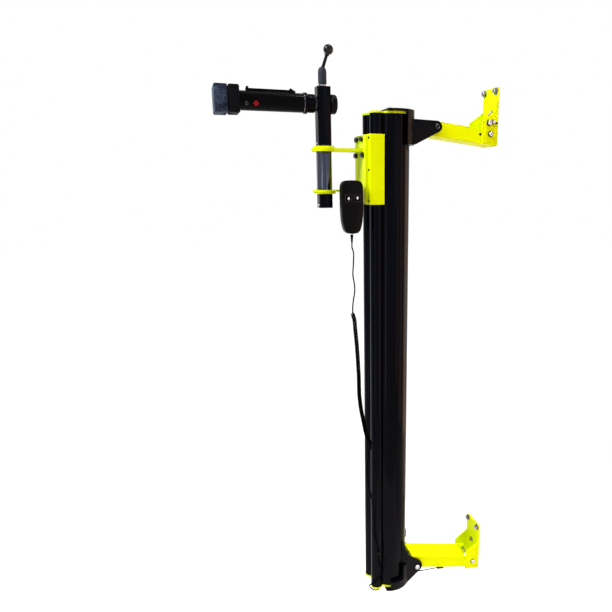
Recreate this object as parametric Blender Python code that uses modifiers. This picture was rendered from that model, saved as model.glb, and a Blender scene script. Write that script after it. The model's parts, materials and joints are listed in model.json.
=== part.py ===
"""Wall-mounted electric bike hoist.

Metres, +Z up. The wall is the plane X = 0 and the hoist stands off it towards -X.
Y = 0 is the middle of the column. The origin lies on the lower wall bracket's back face.
"""

import math

import bmesh
import bpy
import numpy as np
from mathutils import Matrix, Vector

# Gap between pieces that touch, and between pieces that slide or turn in each other
GAP = 0.0003
RUNNING = 0.0003

# Column: a round tube with two round guide rails down its front and a slot between them
WALL_DISTANCE = 0.295
COLUMN_BOTTOM = -0.010
COLUMN_LENGTH = 1.360
COLUMN_RADIUS = 0.050
COLUMN_WALL = 0.004
RAIL_RADIUS = 0.017
RAIL_WALL = 0.0035
RAIL_FORWARD = 0.049
RAIL_SPREAD = 0.028
SLOT_WIDTH = 0.014
PLATE_THICKNESS = 0.005
PLATE_PROUD = 0.0012

# Cast holders at both ends of the column
HOLDER_RADIUS = 0.062
HOLDER_CAP = 0.0055
HOLDER_LAP = 0.001
HOLDER_FRONT = 0.027
HOLDER_WRAP = 0.026
EAR_THICKNESS = 0.0105
EAR_START = 0.026
UPPER_EAR_TIP = 0.0145
UPPER_EAR_FOOT = 0.0525
LOWER_EAR_TIP = 0.020
LOWER_EAR_FORWARD = 0.0035
LOWER_EAR_LIFT = 0.0025
LOWER_EAR_FOOT = 0.0425
LOWER_EAR_TOP = (0.0305, 0.100)
LOWER_EAR_CURVE = [(0.0335, 0.086), (0.0400, 0.066), (0.0505, 0.047), (0.0640, 0.0335)]
UPPER_SKIRT = 0.080
LOWER_SKIRT = 0.060
CUP_RIM = 0.016
CUP_FRONT = 0.012
SUPPLY_HOLE = 0.030
UPPER_PIN_BACK = 0.112
UPPER_PIN_DROP = 0.028
LOWER_PIN_BACK = 0.077
LOWER_PIN_RISE = 0.038
PIN_RADIUS = 0.005

# Channel arms between the holders and the wall brackets
ARM_WIDTH = 0.068
ARM_HEIGHT = 0.038
ARM_SHEET = 0.003
UPPER_ARM_SLOPE = 0.118
LOWER_ARM_SLOPE = 0.247
ARM_END = 0.011
ARM_MOUTH = 0.042

# Wall brackets
BRACKET_HEIGHT = 0.152
BRACKET_PLATE = 0.005
FLANGE_SHEET = 0.004
FLANGE_DEPTH = 0.047
FLANGE_LOW = 0.064
FLANGE_HIGH = 0.093
FLANGE_TOE = 0.0065
UPPER_BRACKET_DROP = 0.073
LOWER_BRACKET_DROP = 0.025
WALL_BOLT_SPREAD = 0.029
WALL_BOLT_INSET = 0.010
WALL_BOLT_ACROSS = 0.016
WALL_BOLT_HEAD = 0.0065
WALL_BOLT_RADIUS = 0.005
WASHER_RADIUS = 0.010
WASHER_THICKNESS = 0.0018
FLANGE_BOLT_BACK = 0.022
FLANGE_BOLT_RISE = 0.031

# Drive inside the column
MOTOR_RADIUS = 0.038
MOTOR_LENGTH = 0.105
GEARBOX_RADIUS = 0.042
GEARBOX_LENGTH = 0.060
BEARING_LENGTH = 0.016
SCREW_RADIUS = 0.008
SCREW_JOURNAL = 0.006
NUT_RADIUS = 0.017
NUT_LENGTH = 0.040
NUT_FLANGE = 0.022
NUT_FLANGE_LENGTH = 0.006
DRIVE_EYE = 0.024
DRIVE_EYE_LENGTH = 0.024
DRIVE_BAR = 0.010
DRIVE_RISE = 0.072
DRIVE_FOOT = 0.030

# Carriage
CARRIAGE_LENGTH = 0.173
CARRIAGE_DROP = 0.051
CARRIAGE_SHEET = 0.004
CARRIAGE_DEPTH = 0.040
CARRIAGE_CORNER = 0.005
SHOE_FACE = 0.0044
SHOE_SIDE = 0.0034
SHOE_LENGTH = 0.034
SHOE_INSET = 0.003

# Mast bracket: a plate and two forks with an eye each, which carry the mast
MAST_REACH = 0.178
BRACKET_BACK = 0.0075
BRACKET_HALF = 0.044
FORK_HALF = 0.025
EYE_RADIUS = 0.031
BOSS_RADIUS = 0.0275
BOSS_LENGTH = 0.0045
UPPER_FORK = 0.008
LOWER_FORK = 0.005
UPPER_FORK_RISE = 0.131
LOWER_FORK_RISE = 0.032
BUSH_RADIUS = 0.0225
BUSH_LIP = 0.0005
BOLT_RADIUS = 0.004
BOLT_HEAD = 0.0065
BOLT_HEAD_LENGTH = 0.008
SOCKET_RADIUS = 0.0036
UPPER_BOLT_SPREAD = 0.020
UPPER_BOLT_DROP = 0.011
LOWER_BOLT_SPREAD = 0.028
LOWER_BOLT_DROP = 0.050

# Mast: a square post on a round spindle that turns in the forks
POST_WIDTH = 0.0335
POST_TOP_RISE = 0.140
SPINDLE_RADIUS = 0.0195
FOOT_LENGTH = 0.035
TAIL_RADIUS = 0.009
TAIL_LENGTH = 0.022
POST_CORNER = 0.0025

# Lever on the mast
LEVER_STEM = 0.0075
LEVER_STEM_LENGTH = 0.0055
HUB_RADIUS = 0.0105
HUB_LENGTH = 0.039
LEVER_ROD = 0.004
LEVER_LEAN = 0.0165
LEVER_RISE = 0.086
BALL_RADIUS = 0.0123
ROD_SEAT = 0.006

# Clamp head on a level spindle through the post
CLAMP_DROP = 0.040
CLAMP_SPINDLE = 0.009
CLAMP_SHOULDER = 0.017
CLAMP_SHOULDER_LENGTH = 0.0040
CLAMP_STUB = 0.012
RING_RADIUS = 0.0215
RING_RIDGE = 0.0012
RING_RIDGES = 24
RING_LENGTH = 0.0185
COLLAR_RADIUS = 0.025
COLLAR_LENGTH = 0.009
COLLAR_SPIGOT = 0.017
TUBE_RADIUS = 0.0225
TUBE_WALL = 0.002
TUBE_LENGTH = 0.153
KNOB_RADIUS = 0.0235
KNOB_LENGTH = 0.016
KNOB_BORE = 0.007
JAW_LENGTH = 0.025
OUTER_JAW_LENGTH = 0.0305
JAW_NEAR = 0.035
JAW_FAR = 0.0275
JAW_HALF_HEIGHT = 0.031
JAW_GAP = 0.0015
JAW_EDGE = 0.003
SEAT_POST_RADIUS = 0.0135
BRIDGE_THICKNESS = 0.012
BRIDGE_HALF_HEIGHT = 0.018
BRIDGE_REACH = 0.072
BRIDGE_FOOT = 0.013
BUTTON_RADIUS = 0.0065
BUTTON_PROUD = 0.0025
BUTTON_DEPTH = 0.0065
BUTTON_BACK = 0.038
BUTTON_TURN = 20
RAIL_BAR_LENGTH = 0.1045
RAIL_BAR_WIDTH = 0.010
RAIL_BAR_HEIGHT = 0.0050
RAIL_BAR_START = 0.0168
WEDGE_LENGTH = 0.0135
WEDGE_HEIGHT = 0.0045
PEG_RADIUS = 0.0032
PEG_LENGTH = 0.0045

# Handset
HANDSET_FORWARD = 0.0382
HANDSET_TOP_DROP = 0.113
HANDSET_LENGTH = 0.134
HANDSET_HALF = 0.0285
HANDSET_NEAR = 0.060
HANDSET_BACK = 0.033
HANDSET_SPLIT = 0.0465
HANDSET_WALL = 0.0022
HANDSET_EDGE = 0.005
KEY_SPREAD = 0.0115
KEY_DROP = 0.043
KEY_WIDTH = 0.015
KEY_CORNER = 0.004
KEY_PROUD = 0.0012
KEY_DEPTH = 0.0035
HOOK_WIDTH = 0.016
HOOK_SHEET = 0.003
HOOK_LENGTH = 0.034
PRONG_INSET = 0.007
RELIEF_LENGTH = 0.025
RELIEF_TOP = 0.0039
RELIEF_TIP = 0.0021

# Handset cord: straight leads and a curly stretch
CORD_RADIUS = 0.0015
CURL_RADIUS = 0.00375
CURL_COUNT = 60
POINTS_PER_CURL = 8
LEAD_STEP = 0.0090
CLIP_LENGTH = 0.008
CLIP_DEPTH = 0.0075
CLIP_WIDTH = 0.011
GLAND_RADIUS = 0.0045
GLAND_LENGTH = 0.006

# Supply lead and its in-line connector under the lower arm
SUPPLY_RADIUS = 0.0016
CONNECTOR_RADIUS = 0.0036
CONNECTOR_LENGTH = 0.024

# Routes through hand-chosen points, top to bottom or from the hoist outwards
CLIP_PLACE = (-0.3440, -0.0488, 0.1100)
HANDSET_ROUTE = [
    (-0.4160, -0.0465, 1.0264),
    (-0.4158, -0.0465, 1.0180),
    (-0.4120, -0.0470, 1.0030),
    (-0.4135, -0.0478, 0.9700),
    (-0.4150, -0.0488, 0.9480),
    (-0.4115, -0.0498, 0.9230),
    (-0.4110, -0.0500, 0.9050),
    (-0.4150, -0.0502, 0.8800),
    (-0.4172, -0.0508, 0.8620),
    (-0.4172, -0.0509, 0.8535),
]
CURLY_ROUTE = [
    (-0.4172, -0.0510, 0.8532),
    (-0.4172, -0.0511, 0.8430),
    (-0.4130, -0.0514, 0.8280),
    (-0.4110, -0.0518, 0.8000),
    (-0.4085, -0.0522, 0.7720),
    (-0.4060, -0.0526, 0.7360),
    (-0.4045, -0.0530, 0.7040),
    (-0.4030, -0.0534, 0.6680),
    (-0.4025, -0.0538, 0.6280),
    (-0.4010, -0.0540, 0.6040),
    (-0.3970, -0.0540, 0.5720),
    (-0.3905, -0.0540, 0.5380),
    (-0.3840, -0.0540, 0.5040),
    (-0.3760, -0.0542, 0.4810),
    (-0.3715, -0.0544, 0.4710),
    (-0.3700, -0.0544, 0.4620),
]
BASE_ROUTE = [
    (-0.3700, -0.0544, 0.4617),
    (-0.3701, -0.0543, 0.4550),
    (-0.3745, -0.0535, 0.4400),
    (-0.3795, -0.0528, 0.4110),
    (-0.3800, -0.0520, 0.3850),
    (-0.3770, -0.0510, 0.3560),
    (-0.3710, -0.0505, 0.3200),
    (-0.3650, -0.0500, 0.2900),
    (-0.3605, -0.0498, 0.2600),
    (-0.3590, -0.0495, 0.2250),
    (-0.3595, -0.0490, 0.1820),
    (-0.3520, -0.0488, 0.1480),
    (-0.3440, -0.0488, 0.1260),
    CLIP_PLACE,
    (-0.3440, -0.0488, 0.0940),
    (-0.3405, -0.0490, 0.0760),
    (-0.3370, -0.0495, 0.0530),
    (-0.3400, -0.0500, 0.0320),
    (-0.3510, -0.0495, 0.0160),
    (-0.3630, -0.0425, 0.0060),
    (-0.3685, -0.0330, -0.0040),
    (-0.3655, -0.0275, -0.0170),
    (-0.3575, -0.0265, -0.0270),
    (-0.3480, -0.0270, -0.0330),
    (-0.3390, -0.0280, -0.0330),
    (-0.3350, -0.0285, -0.0290),
    (-0.3345, -0.0285, -0.0250),
]
SUPPLY_ROUTE = [
    (-0.2420, -0.0200, -0.0030),
    (-0.2300, -0.0200, -0.0034),
    (-0.2150, -0.0206, -0.0058),
    (-0.1980, -0.0222, -0.0075),
    (-0.1810, -0.0242, -0.0076),
    (-0.1640, -0.0262, -0.0067),
    (-0.1520, -0.0273, -0.0065),
    (-0.1430, -0.0275, -0.0077),
]

# Finishes: colour, roughness, metallic
FINISHES = {
    "signal_yellow": ((0.80, 0.86, 0.0, 1.0), 0.38, 0.0),
    "black_anodised": ((0.012, 0.012, 0.016, 1.0), 0.36, 0.6),
    "black_casting": ((0.010, 0.010, 0.013, 1.0), 0.45, 0.2),
    "black_steel": ((0.012, 0.013, 0.020, 1.0), 0.30, 0.5),
    "black_plastic": ((0.010, 0.010, 0.010, 1.0), 0.40, 0.0),
    "black_rubber": ((0.008, 0.008, 0.008, 1.0), 0.65, 0.0),
    "zinc": ((0.55, 0.55, 0.58, 1.0), 0.30, 1.0),
    "bright_steel": ((0.60, 0.60, 0.62, 1.0), 0.20, 1.0),
    "bronze": ((0.45, 0.30, 0.12, 1.0), 0.35, 1.0),
    "nylon": ((0.75, 0.73, 0.68, 1.0), 0.55, 0.0),
    "red_plastic": ((0.45, 0.01, 0.03, 1.0), 0.30, 0.0),
}

# Sides of the round stretches that slide or seat in one another
COLUMN_SIDES = 40
RAIL_SIDES = 20
TUBE_SIDES = 28

# Places that follow from the sizes
COLUMN_X = -WALL_DISTANCE
COLUMN_TOP = COLUMN_BOTTOM + COLUMN_LENGTH
RAIL_X = COLUMN_X - RAIL_FORWARD
TOP_PLATE_LOW = COLUMN_TOP + GAP
TOP_PLATE_HIGH = TOP_PLATE_LOW + PLATE_THICKNESS
BOTTOM_PLATE_HIGH = COLUMN_BOTTOM - GAP
BOTTOM_PLATE_LOW = BOTTOM_PLATE_HIGH - PLATE_THICKNESS
ARM_HALF = ARM_WIDTH / 2
EAR_INNER = ARM_HALF + GAP
EAR_OUTER = EAR_INNER + EAR_THICKNESS
FLANGE_INNER = ARM_HALF + GAP
FLANGE_OUTER = FLANGE_INNER + FLANGE_SHEET
UPPER_PIN = Vector((COLUMN_X + UPPER_PIN_BACK, 0, COLUMN_TOP - UPPER_PIN_DROP))
LOWER_PIN = Vector((COLUMN_X + LOWER_PIN_BACK, 0, COLUMN_BOTTOM + LOWER_PIN_RISE))
UPPER_BRACKET_BOTTOM = COLUMN_TOP - UPPER_BRACKET_DROP
LOWER_BRACKET_BOTTOM = COLUMN_BOTTOM - LOWER_BRACKET_DROP
CARRIAGE_TOP = COLUMN_TOP - CARRIAGE_DROP
CARRIAGE_BOTTOM = CARRIAGE_TOP - CARRIAGE_LENGTH
SHOE_FRONT = RAIL_X - RAIL_RADIUS - RUNNING - SHOE_FACE
SHOE_HALF = RAIL_SPREAD + RAIL_RADIUS + RUNNING + SHOE_SIDE
SHEET_INNER = SHOE_FRONT - GAP
SHEET_OUTER = SHEET_INNER - CARRIAGE_SHEET
CHEEK_INNER = SHOE_HALF + GAP
CHEEK_OUTER = CHEEK_INNER + CARRIAGE_SHEET
CARRIAGE_BACK = SHEET_OUTER + CARRIAGE_DEPTH
MAST_X = COLUMN_X - MAST_REACH
PLATE_BACK = SHEET_OUTER - GAP
PLATE_FACE = PLATE_BACK - BRACKET_BACK
UPPER_FORK_LOW = CARRIAGE_BOTTOM + UPPER_FORK_RISE
UPPER_FORK_HIGH = UPPER_FORK_LOW + UPPER_FORK
LOWER_FORK_LOW = CARRIAGE_BOTTOM + LOWER_FORK_RISE
LOWER_FORK_HIGH = LOWER_FORK_LOW + LOWER_FORK
UPPER_BOSS = UPPER_FORK_HIGH + BOSS_LENGTH
LOWER_BOSS = LOWER_FORK_LOW - BOSS_LENGTH
POST_BOTTOM = UPPER_BOSS + RUNNING
POST_TOP = POST_BOTTOM + POST_TOP_RISE
CLAMP_Z = POST_TOP - CLAMP_DROP
POST_HALF = POST_WIDTH / 2
HANDSET_X = PLATE_FACE - HANDSET_FORWARD
HANDSET_TOP = CARRIAGE_TOP - HANDSET_TOP_DROP
HANDSET_BOTTOM = HANDSET_TOP - HANDSET_LENGTH

parts = None
cutters = None


def clear_scene():
    """Empties the file, and makes one collection for the hoist and one for the cutters."""
    global parts, cutters
    for obj in list(bpy.data.objects):
        bpy.data.objects.remove(obj, do_unlink=True)
    parts = bpy.data.collections.new("bike_hoist")
    cutters = bpy.data.collections.new("cutters")
    bpy.context.scene.collection.children.link(parts)
    bpy.context.scene.collection.children.link(cutters)


def add_object(name, data):
    obj = bpy.data.objects.new(name, data)
    parts.objects.link(obj)
    return obj


def finish(obj, finish_name):
    """Gives a piece its own material and smooth shading."""
    colour, roughness, metallic = FINISHES[finish_name]
    material = bpy.data.materials.new(f"{obj.name}_{finish_name}")
    material.use_nodes = True
    shader = material.node_tree.nodes["Principled BSDF"]
    shader.inputs["Base Color"].default_value = colour
    shader.inputs["Roughness"].default_value = roughness
    shader.inputs["Metallic"].default_value = metallic
    material.diffuse_color = colour
    obj.data.materials.clear()
    obj.data.materials.append(material)
    if obj.type == "MESH":
        obj.data.shade_smooth()
        obj.data.set_sharp_from_angle(angle=math.radians(35))
    return obj


def box(name, low, high):
    """A block between two corners."""
    low, high = Vector(low), Vector(high)
    shape = bmesh.new()
    bmesh.ops.create_cube(shape, size=1)
    bmesh.ops.scale(shape, vec=high - low, verts=shape.verts)
    mesh = bpy.data.meshes.new(name)
    shape.to_mesh(mesh)
    shape.free()
    obj = add_object(name, mesh)
    obj.location = (low + high) / 2
    return obj


def cylinder(name, radius, start, end, segments=20, end_radius=None):
    """A round bar, or a cone, from one point to another."""
    start, end = Vector(start), Vector(end)
    along = end - start
    shape = bmesh.new()
    bmesh.ops.create_cone(
        shape,
        cap_ends=True,
        segments=segments,
        radius1=radius,
        radius2=radius if end_radius is None else end_radius,
        depth=along.length,
    )
    mesh = bpy.data.meshes.new(name)
    shape.to_mesh(mesh)
    shape.free()
    obj = add_object(name, mesh)
    obj.location = (start + end) / 2
    obj.rotation_euler = along.to_track_quat("Z", "Y").to_euler()
    return obj


def facing(axis, middle):
    """Turns a flat outline so that its thickness runs along one axis."""
    if axis == "Z":
        return Matrix.Translation((0, 0, middle))
    if axis == "Y":
        return Matrix.Translation((0, middle, 0)) @ Matrix.Rotation(math.pi / 2, 4, "X")
    turn = Matrix(((0, 0, 1, 0), (1, 0, 0, 0), (0, 1, 0, 0), (0, 0, 0, 1)))
    return Matrix.Translation((middle, 0, 0)) @ turn


def prism(name, outlines, axis, low, high):
    """Flat outlines, the first the edge and the others holes, extruded from low to high along an axis.

    An outline's points are (X, Y) along Z, (X, Z) along Y, and (Y, Z) along X.
    """
    curve = bpy.data.curves.new(name, "CURVE")
    curve.dimensions = "2D"
    curve.fill_mode = "BOTH"
    curve.extrude = (high - low) / 2
    for outline in outlines:
        spline = curve.splines.new("POLY")
        spline.points.add(len(outline) - 1)
        for point, (across, up) in zip(spline.points, outline):
            point.co = (across, up, 0, 1)
        spline.use_cyclic_u = True
    guide = add_object(name + "_outline", curve)
    mesh = mesh_of(guide)
    obj = add_object(name, mesh)
    obj.matrix_world = facing(axis, (low + high) / 2)
    return obj


def mesh_of(guide):
    """The welded mesh of a curve object, which is then removed."""
    bpy.context.view_layer.update()
    graph = bpy.context.evaluated_depsgraph_get()
    mesh = bpy.data.meshes.new_from_object(guide.evaluated_get(graph))
    shape = bmesh.new()
    shape.from_mesh(mesh)
    bmesh.ops.remove_doubles(shape, verts=shape.verts, dist=0.000001)
    bmesh.ops.recalc_face_normals(shape, faces=shape.faces)
    shape.to_mesh(mesh)
    shape.free()
    bpy.data.objects.remove(guide, do_unlink=True)
    return mesh


def turned(name, profile, start, along, segments=20):
    """A turned piece: (radius, distance) pairs down its outer side, from its top end.

    The distance is measured from the start point along the axis.
    """
    mesh = bpy.data.meshes.new(name)
    points = [(radius, 0, distance) for radius, distance in profile]
    edges = [(i, i + 1) for i in range(len(points) - 1)]
    mesh.from_pydata(points, edges, [])
    obj = add_object(name, mesh)
    screw = obj.modifiers.new("turn", "SCREW")
    screw.steps = segments
    screw.render_steps = segments
    screw.use_merge_vertices = True
    screw.merge_threshold = 0.00001
    obj.location = start
    obj.rotation_euler = Vector(along).to_track_quat("Z", "Y").to_euler()
    return obj


def tube_curve(name, points, radius, bevel_resolution):
    """A round cord or rod along points, with closed ends."""
    curve = bpy.data.curves.new(name, "CURVE")
    curve.dimensions = "3D"
    curve.bevel_depth = radius
    curve.bevel_resolution = bevel_resolution
    curve.use_fill_caps = True
    spline = curve.splines.new("POLY")
    spline.points.add(len(points) - 1)
    for point, place in zip(spline.points, points):
        point.co = (*place, 1)
    return add_object(name, curve)


def hide_as_cutter(obj):
    parts.objects.unlink(obj)
    cutters.objects.link(obj)
    obj.hide_render = True
    obj.display_type = "WIRE"


def combine(obj, other, operation):
    step = obj.modifiers.new(f"{operation.lower()}_{other.name}"[:60], "BOOLEAN")
    step.operation = operation
    step.solver = "EXACT"
    step.object = other
    hide_as_cutter(other)


def cut(obj, *shapes):
    for shape in shapes:
        combine(obj, shape, "DIFFERENCE")


def join(obj, *shapes):
    for shape in shapes:
        combine(obj, shape, "UNION")


def round_edges(obj, width, segments=2):
    """Rounds the sharp edges. Called before anything is cut or joined."""
    bevel = obj.modifiers.new("round_edges", "BEVEL")
    bevel.width = width
    bevel.segments = segments
    bevel.limit_method = "ANGLE"
    bevel.angle_limit = math.radians(50)
    return obj


def round_rim(obj, side, width, segments=2):
    """Rounds the rim of one end of an extruded outline, before anything is cut or joined.

    The side is 1 or -1, along the extrusion.
    """
    shape = bmesh.new()
    shape.from_mesh(obj.data)
    level = max(side * v.co.z for v in shape.verts) - 0.00001
    rim = [e for e in shape.edges if all(side * v.co.z > level for v in e.verts)]
    rim = [e for e in rim if len({round(side * f.normal.z, 3) for f in e.link_faces}) > 1]
    bmesh.ops.bevel(shape, geom=rim, offset=width, segments=segments, affect="EDGES", profile=0.5)
    shape.to_mesh(obj.data)
    shape.free()
    return obj


def rectangle(low_across, high_across, low_up, high_up, corner=0.0, steps=3):
    """A rectangle's outline, with rounded corners."""
    if corner == 0:
        return [
            (low_across, low_up),
            (high_across, low_up),
            (high_across, high_up),
            (low_across, high_up),
        ]
    centres = [
        (high_across - corner, high_up - corner, 0),
        (low_across + corner, high_up - corner, 90),
        (low_across + corner, low_up + corner, 180),
        (high_across - corner, low_up + corner, 270),
    ]
    outline = []
    for across, up, first in centres:
        outline += arc(across, up, corner, first, first + 90, steps)
    return outline


def arc(across, up, radius, first, last, steps):
    """Points of an arc, with its angles in degrees."""
    angles = [math.radians(first + (last - first) * i / steps) for i in range(steps + 1)]
    return [(across + radius * math.cos(a), up + radius * math.sin(a)) for a in angles]


def circle(across, up, radius, steps=32):
    return arc(across, up, radius, 0, 360 * (steps - 1) / steps, steps - 1)


def tangent_angle(point, centre, radius, side):
    """The angle in degrees at which a line from a point touches a circle."""
    across, up = point[0] - centre[0], point[1] - centre[1]
    towards = math.degrees(math.atan2(up, across))
    return towards + side * math.degrees(math.acos(radius / math.hypot(across, up)))


def between(a, b, c, d, t):
    """A point between b and c on the smooth curve through four points."""
    square = 2 * a - 5 * b + 4 * c - d
    cube = 3 * b - a - 3 * c + d
    return 0.5 * (2 * b + (c - a) * t + square * t * t + cube * t * t * t)


def smooth_path(route, step):
    """Evenly spaced points of a smooth curve through a route's points."""
    knots = [Vector(point) for point in route]
    knots = [2 * knots[0] - knots[1], *knots, 2 * knots[-1] - knots[-2]]
    fine = []
    for a, b, c, d in zip(knots, knots[1:], knots[2:], knots[3:]):
        fine += [between(a, b, c, d, i / 12) for i in range(12)]
    fine.append(knots[-2])
    lengths = np.cumsum([0.0] + [(q - p).length for p, q in zip(fine, fine[1:])])
    count = max(2, round(lengths[-1] / step))
    marks = np.linspace(0, lengths[-1], count + 1)
    table = np.array([tuple(point) for point in fine])
    return [Vector([np.interp(mark, lengths, table[:, k]) for k in range(3)]) for mark in marks]


def frames_along(path):
    """A tangent and two square directions at each point of a path, which don't twist."""
    last = len(path) - 1
    spans = [path[min(i + 1, last)] - path[max(i - 1, 0)] for i in range(len(path))]
    tangents = [span.normalized() for span in spans]
    side = tangents[0].orthogonal().normalized()
    frames = []
    for tangent in tangents:
        side = (side - tangent * side.dot(tangent)).normalized()
        frames.append((tangent, side, tangent.cross(side)))
    return frames


def empty(name, place, parent=None):
    """An empty on a joint's axis, which carries that joint's pieces."""
    obj = bpy.data.objects.new(name, None)
    parts.objects.link(obj)
    obj.empty_display_size = 0.03
    obj.location = place
    if parent:
        carry(parent, obj)
    return obj


def carry(parent, *pieces):
    """Parents pieces to an empty, and leaves them where they are."""
    bpy.context.view_layer.update()
    for piece in pieces:
        piece.parent = parent
        piece.matrix_parent_inverse = parent.matrix_world.inverted()
    bpy.context.view_layer.update()


def column_section(name, low, high, proud):
    """The outline of the column and its two rails, filled, from one height to another."""
    body = cylinder(name, COLUMN_RADIUS + proud, (COLUMN_X, 0, low), (COLUMN_X, 0, high), COLUMN_SIDES)
    for side, label in ((-1, "near"), (1, "far")):
        y = side * RAIL_SPREAD
        rail = cylinder(
            f"{name}_{label}_rail", RAIL_RADIUS + proud, (RAIL_X, y, low), (RAIL_X, y, high), RAIL_SIDES
        )
        join(body, rail)
    return body


def make_column():
    """The extruded column: one tube, two hollow rails and the slot that the carriage drive runs in."""
    tube = column_section("column_tube", COLUMN_BOTTOM, COLUMN_TOP, 0)
    low, high = COLUMN_BOTTOM - 0.01, COLUMN_TOP + 0.01
    for side, label in ((-1, "near"), (1, "far")):
        y = side * RAIL_SPREAD
        hollow = cylinder(
            f"{label}_rail_hollow", RAIL_RADIUS - RAIL_WALL, (RAIL_X, y, low), (RAIL_X, y, high), 16
        )
        web = cylinder(
            f"{label}_rail_web",
            COLUMN_RADIUS + RAIL_WALL,
            (COLUMN_X, 0, low - 0.01),
            (COLUMN_X, 0, high + 0.01),
            COLUMN_SIDES,
        )
        cut(hollow, web)
        cut(tube, hollow)
    bore = cylinder(
        "column_bore", COLUMN_RADIUS - COLUMN_WALL, (COLUMN_X, 0, low), (COLUMN_X, 0, high), COLUMN_SIDES
    )
    slot = box(
        "column_slot",
        (COLUMN_X - COLUMN_RADIUS - 0.01, -SLOT_WIDTH / 2, low),
        (COLUMN_X - COLUMN_RADIUS / 2, SLOT_WIDTH / 2, high),
    )
    cut(tube, bore, slot)
    finish(tube, "black_anodised")
    for name, low, high in (
        ("column_top_plate", TOP_PLATE_LOW, TOP_PLATE_HIGH),
        ("column_bottom_plate", BOTTOM_PLATE_LOW, BOTTOM_PLATE_HIGH),
    ):
        finish(column_section(name, low, high, PLATE_PROUD), "signal_yellow")


def ear_outline(start_low, foot, centre, radius, start_high, bends=()):
    """A holder ear in (X, Z): from the skirt by its foot to a round tip, and back by the bends."""
    last = bends[-1] if bends else start_high
    low_angle = tangent_angle(foot, centre, radius, 1)
    high_angle = tangent_angle(last, centre, radius, -1)
    while low_angle > 0:
        low_angle -= 360
    while high_angle < low_angle:
        high_angle += 360
    tip = arc(*centre, radius, low_angle, high_angle, 7)
    return [start_low, foot, *tip, *reversed(bends), start_high]


def make_holder(name, pin, levels, fronts, ear):
    """A cast holder: a cap over the end plate, a skirt round the column's back and two ears.

    The levels are heights from the cap's face along the column, and the fronts are how far
    forward the casting comes between them.
    """
    axis = (COLUMN_X, 0)
    body = cylinder(name, HOLDER_RADIUS, (*axis, min(levels)), (*axis, max(levels)), COLUMN_SIDES)
    open_end = COLUMN_X - 2 * HOLDER_RADIUS
    beyond = math.copysign(HOLDER_CAP, levels[0] - levels[-1])
    steps = [(open_end, levels[0] + beyond), (fronts[0], levels[0] + beyond)]
    for height, before, after in zip(levels[1:], fronts, fronts[1:]):
        steps += [(before, height), (after, height)]
    steps += [(fronts[-1], levels[-1] - beyond), (open_end, levels[-1] - beyond)]
    cut(body, prism(f"{name}_front", [steps], "Y", -2 * HOLDER_RADIUS, 2 * HOLDER_RADIUS))
    for side, label in ((-1, "near"), (1, "far")):
        low, high = sorted((side * EAR_INNER, side * EAR_OUTER))
        join(body, prism(f"{name}_{label}_ear", [ear], "Y", low, high))
    column = cylinder(
        f"{name}_bore",
        COLUMN_RADIUS + GAP,
        (*axis, COLUMN_BOTTOM - GAP),
        (*axis, COLUMN_TOP + GAP),
        COLUMN_SIDES,
    )
    plate_low, plate_high = (
        (TOP_PLATE_LOW - GAP, TOP_PLATE_HIGH + GAP)
        if levels[0] > COLUMN_TOP
        else (BOTTOM_PLATE_LOW - GAP, BOTTOM_PLATE_HIGH + GAP)
    )
    plate = cylinder(
        f"{name}_plate_pocket",
        COLUMN_RADIUS + PLATE_PROUD + GAP,
        (*axis, plate_low),
        (*axis, plate_high),
        COLUMN_SIDES,
    )
    pin_hole = cylinder(
        f"{name}_pin_hole",
        PIN_RADIUS + GAP,
        (pin.x, -EAR_OUTER - 0.01, pin.z),
        (pin.x, EAR_OUTER + 0.01, pin.z),
        16,
    )
    cut(body, column, plate, pin_hole)
    return body


def make_holders():
    """The upper holder's ears are plain, and the lower one's run up the column in a curve."""
    start = COLUMN_X + EAR_START
    cap_low = TOP_PLATE_HIGH + GAP
    skirt_low = TOP_PLATE_LOW - UPPER_SKIRT + PLATE_THICKNESS
    ear = ear_outline(
        (start, skirt_low + HOLDER_LAP),
        (COLUMN_X + UPPER_EAR_FOOT, skirt_low + HOLDER_LAP),
        (UPPER_PIN.x, UPPER_PIN.z),
        UPPER_EAR_TIP,
        (start, UPPER_PIN.z + UPPER_EAR_TIP + 0.003),
    )
    levels = [cap_low + HOLDER_CAP, cap_low, skirt_low]
    fronts = [COLUMN_X - HOLDER_FRONT, COLUMN_X + HOLDER_WRAP]
    upper = make_holder("upper_column_holder", UPPER_PIN, levels, fronts, ear)
    finish(upper, "black_casting")

    cap_high = BOTTOM_PLATE_LOW - GAP
    cap_low = cap_high - HOLDER_CAP
    top, *curve = [
        (COLUMN_X + back, LOWER_PIN.z + rise) for back, rise in (LOWER_EAR_TOP, *LOWER_EAR_CURVE)
    ]
    ear = ear_outline(
        (start, cap_low + HOLDER_LAP),
        (COLUMN_X + LOWER_EAR_FOOT, cap_low + HOLDER_LAP),
        (LOWER_PIN.x - LOWER_EAR_FORWARD, LOWER_PIN.z + LOWER_EAR_LIFT),
        LOWER_EAR_TIP,
        (start, top[1]),
        [top, *curve],
    )
    levels = [cap_low, cap_high, COLUMN_BOTTOM + CUP_RIM, COLUMN_BOTTOM + LOWER_SKIRT]
    fronts = [COLUMN_X - HOLDER_FRONT, COLUMN_X - CUP_FRONT, COLUMN_X + HOLDER_WRAP]
    lower = make_holder("lower_column_holder", LOWER_PIN, levels, fronts, ear)
    lead_hole = cylinder(
        "supply_lead_hole",
        SUPPLY_RADIUS + GAP,
        Vector(SUPPLY_ROUTE[0]) - Vector((0.001, 0, 0)),
        Vector(SUPPLY_ROUTE[0]) + Vector((SUPPLY_HOLE, 0, 0)),
        12,
    )
    cut(lower, lead_hole)
    finish(lower, "black_casting")


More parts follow.
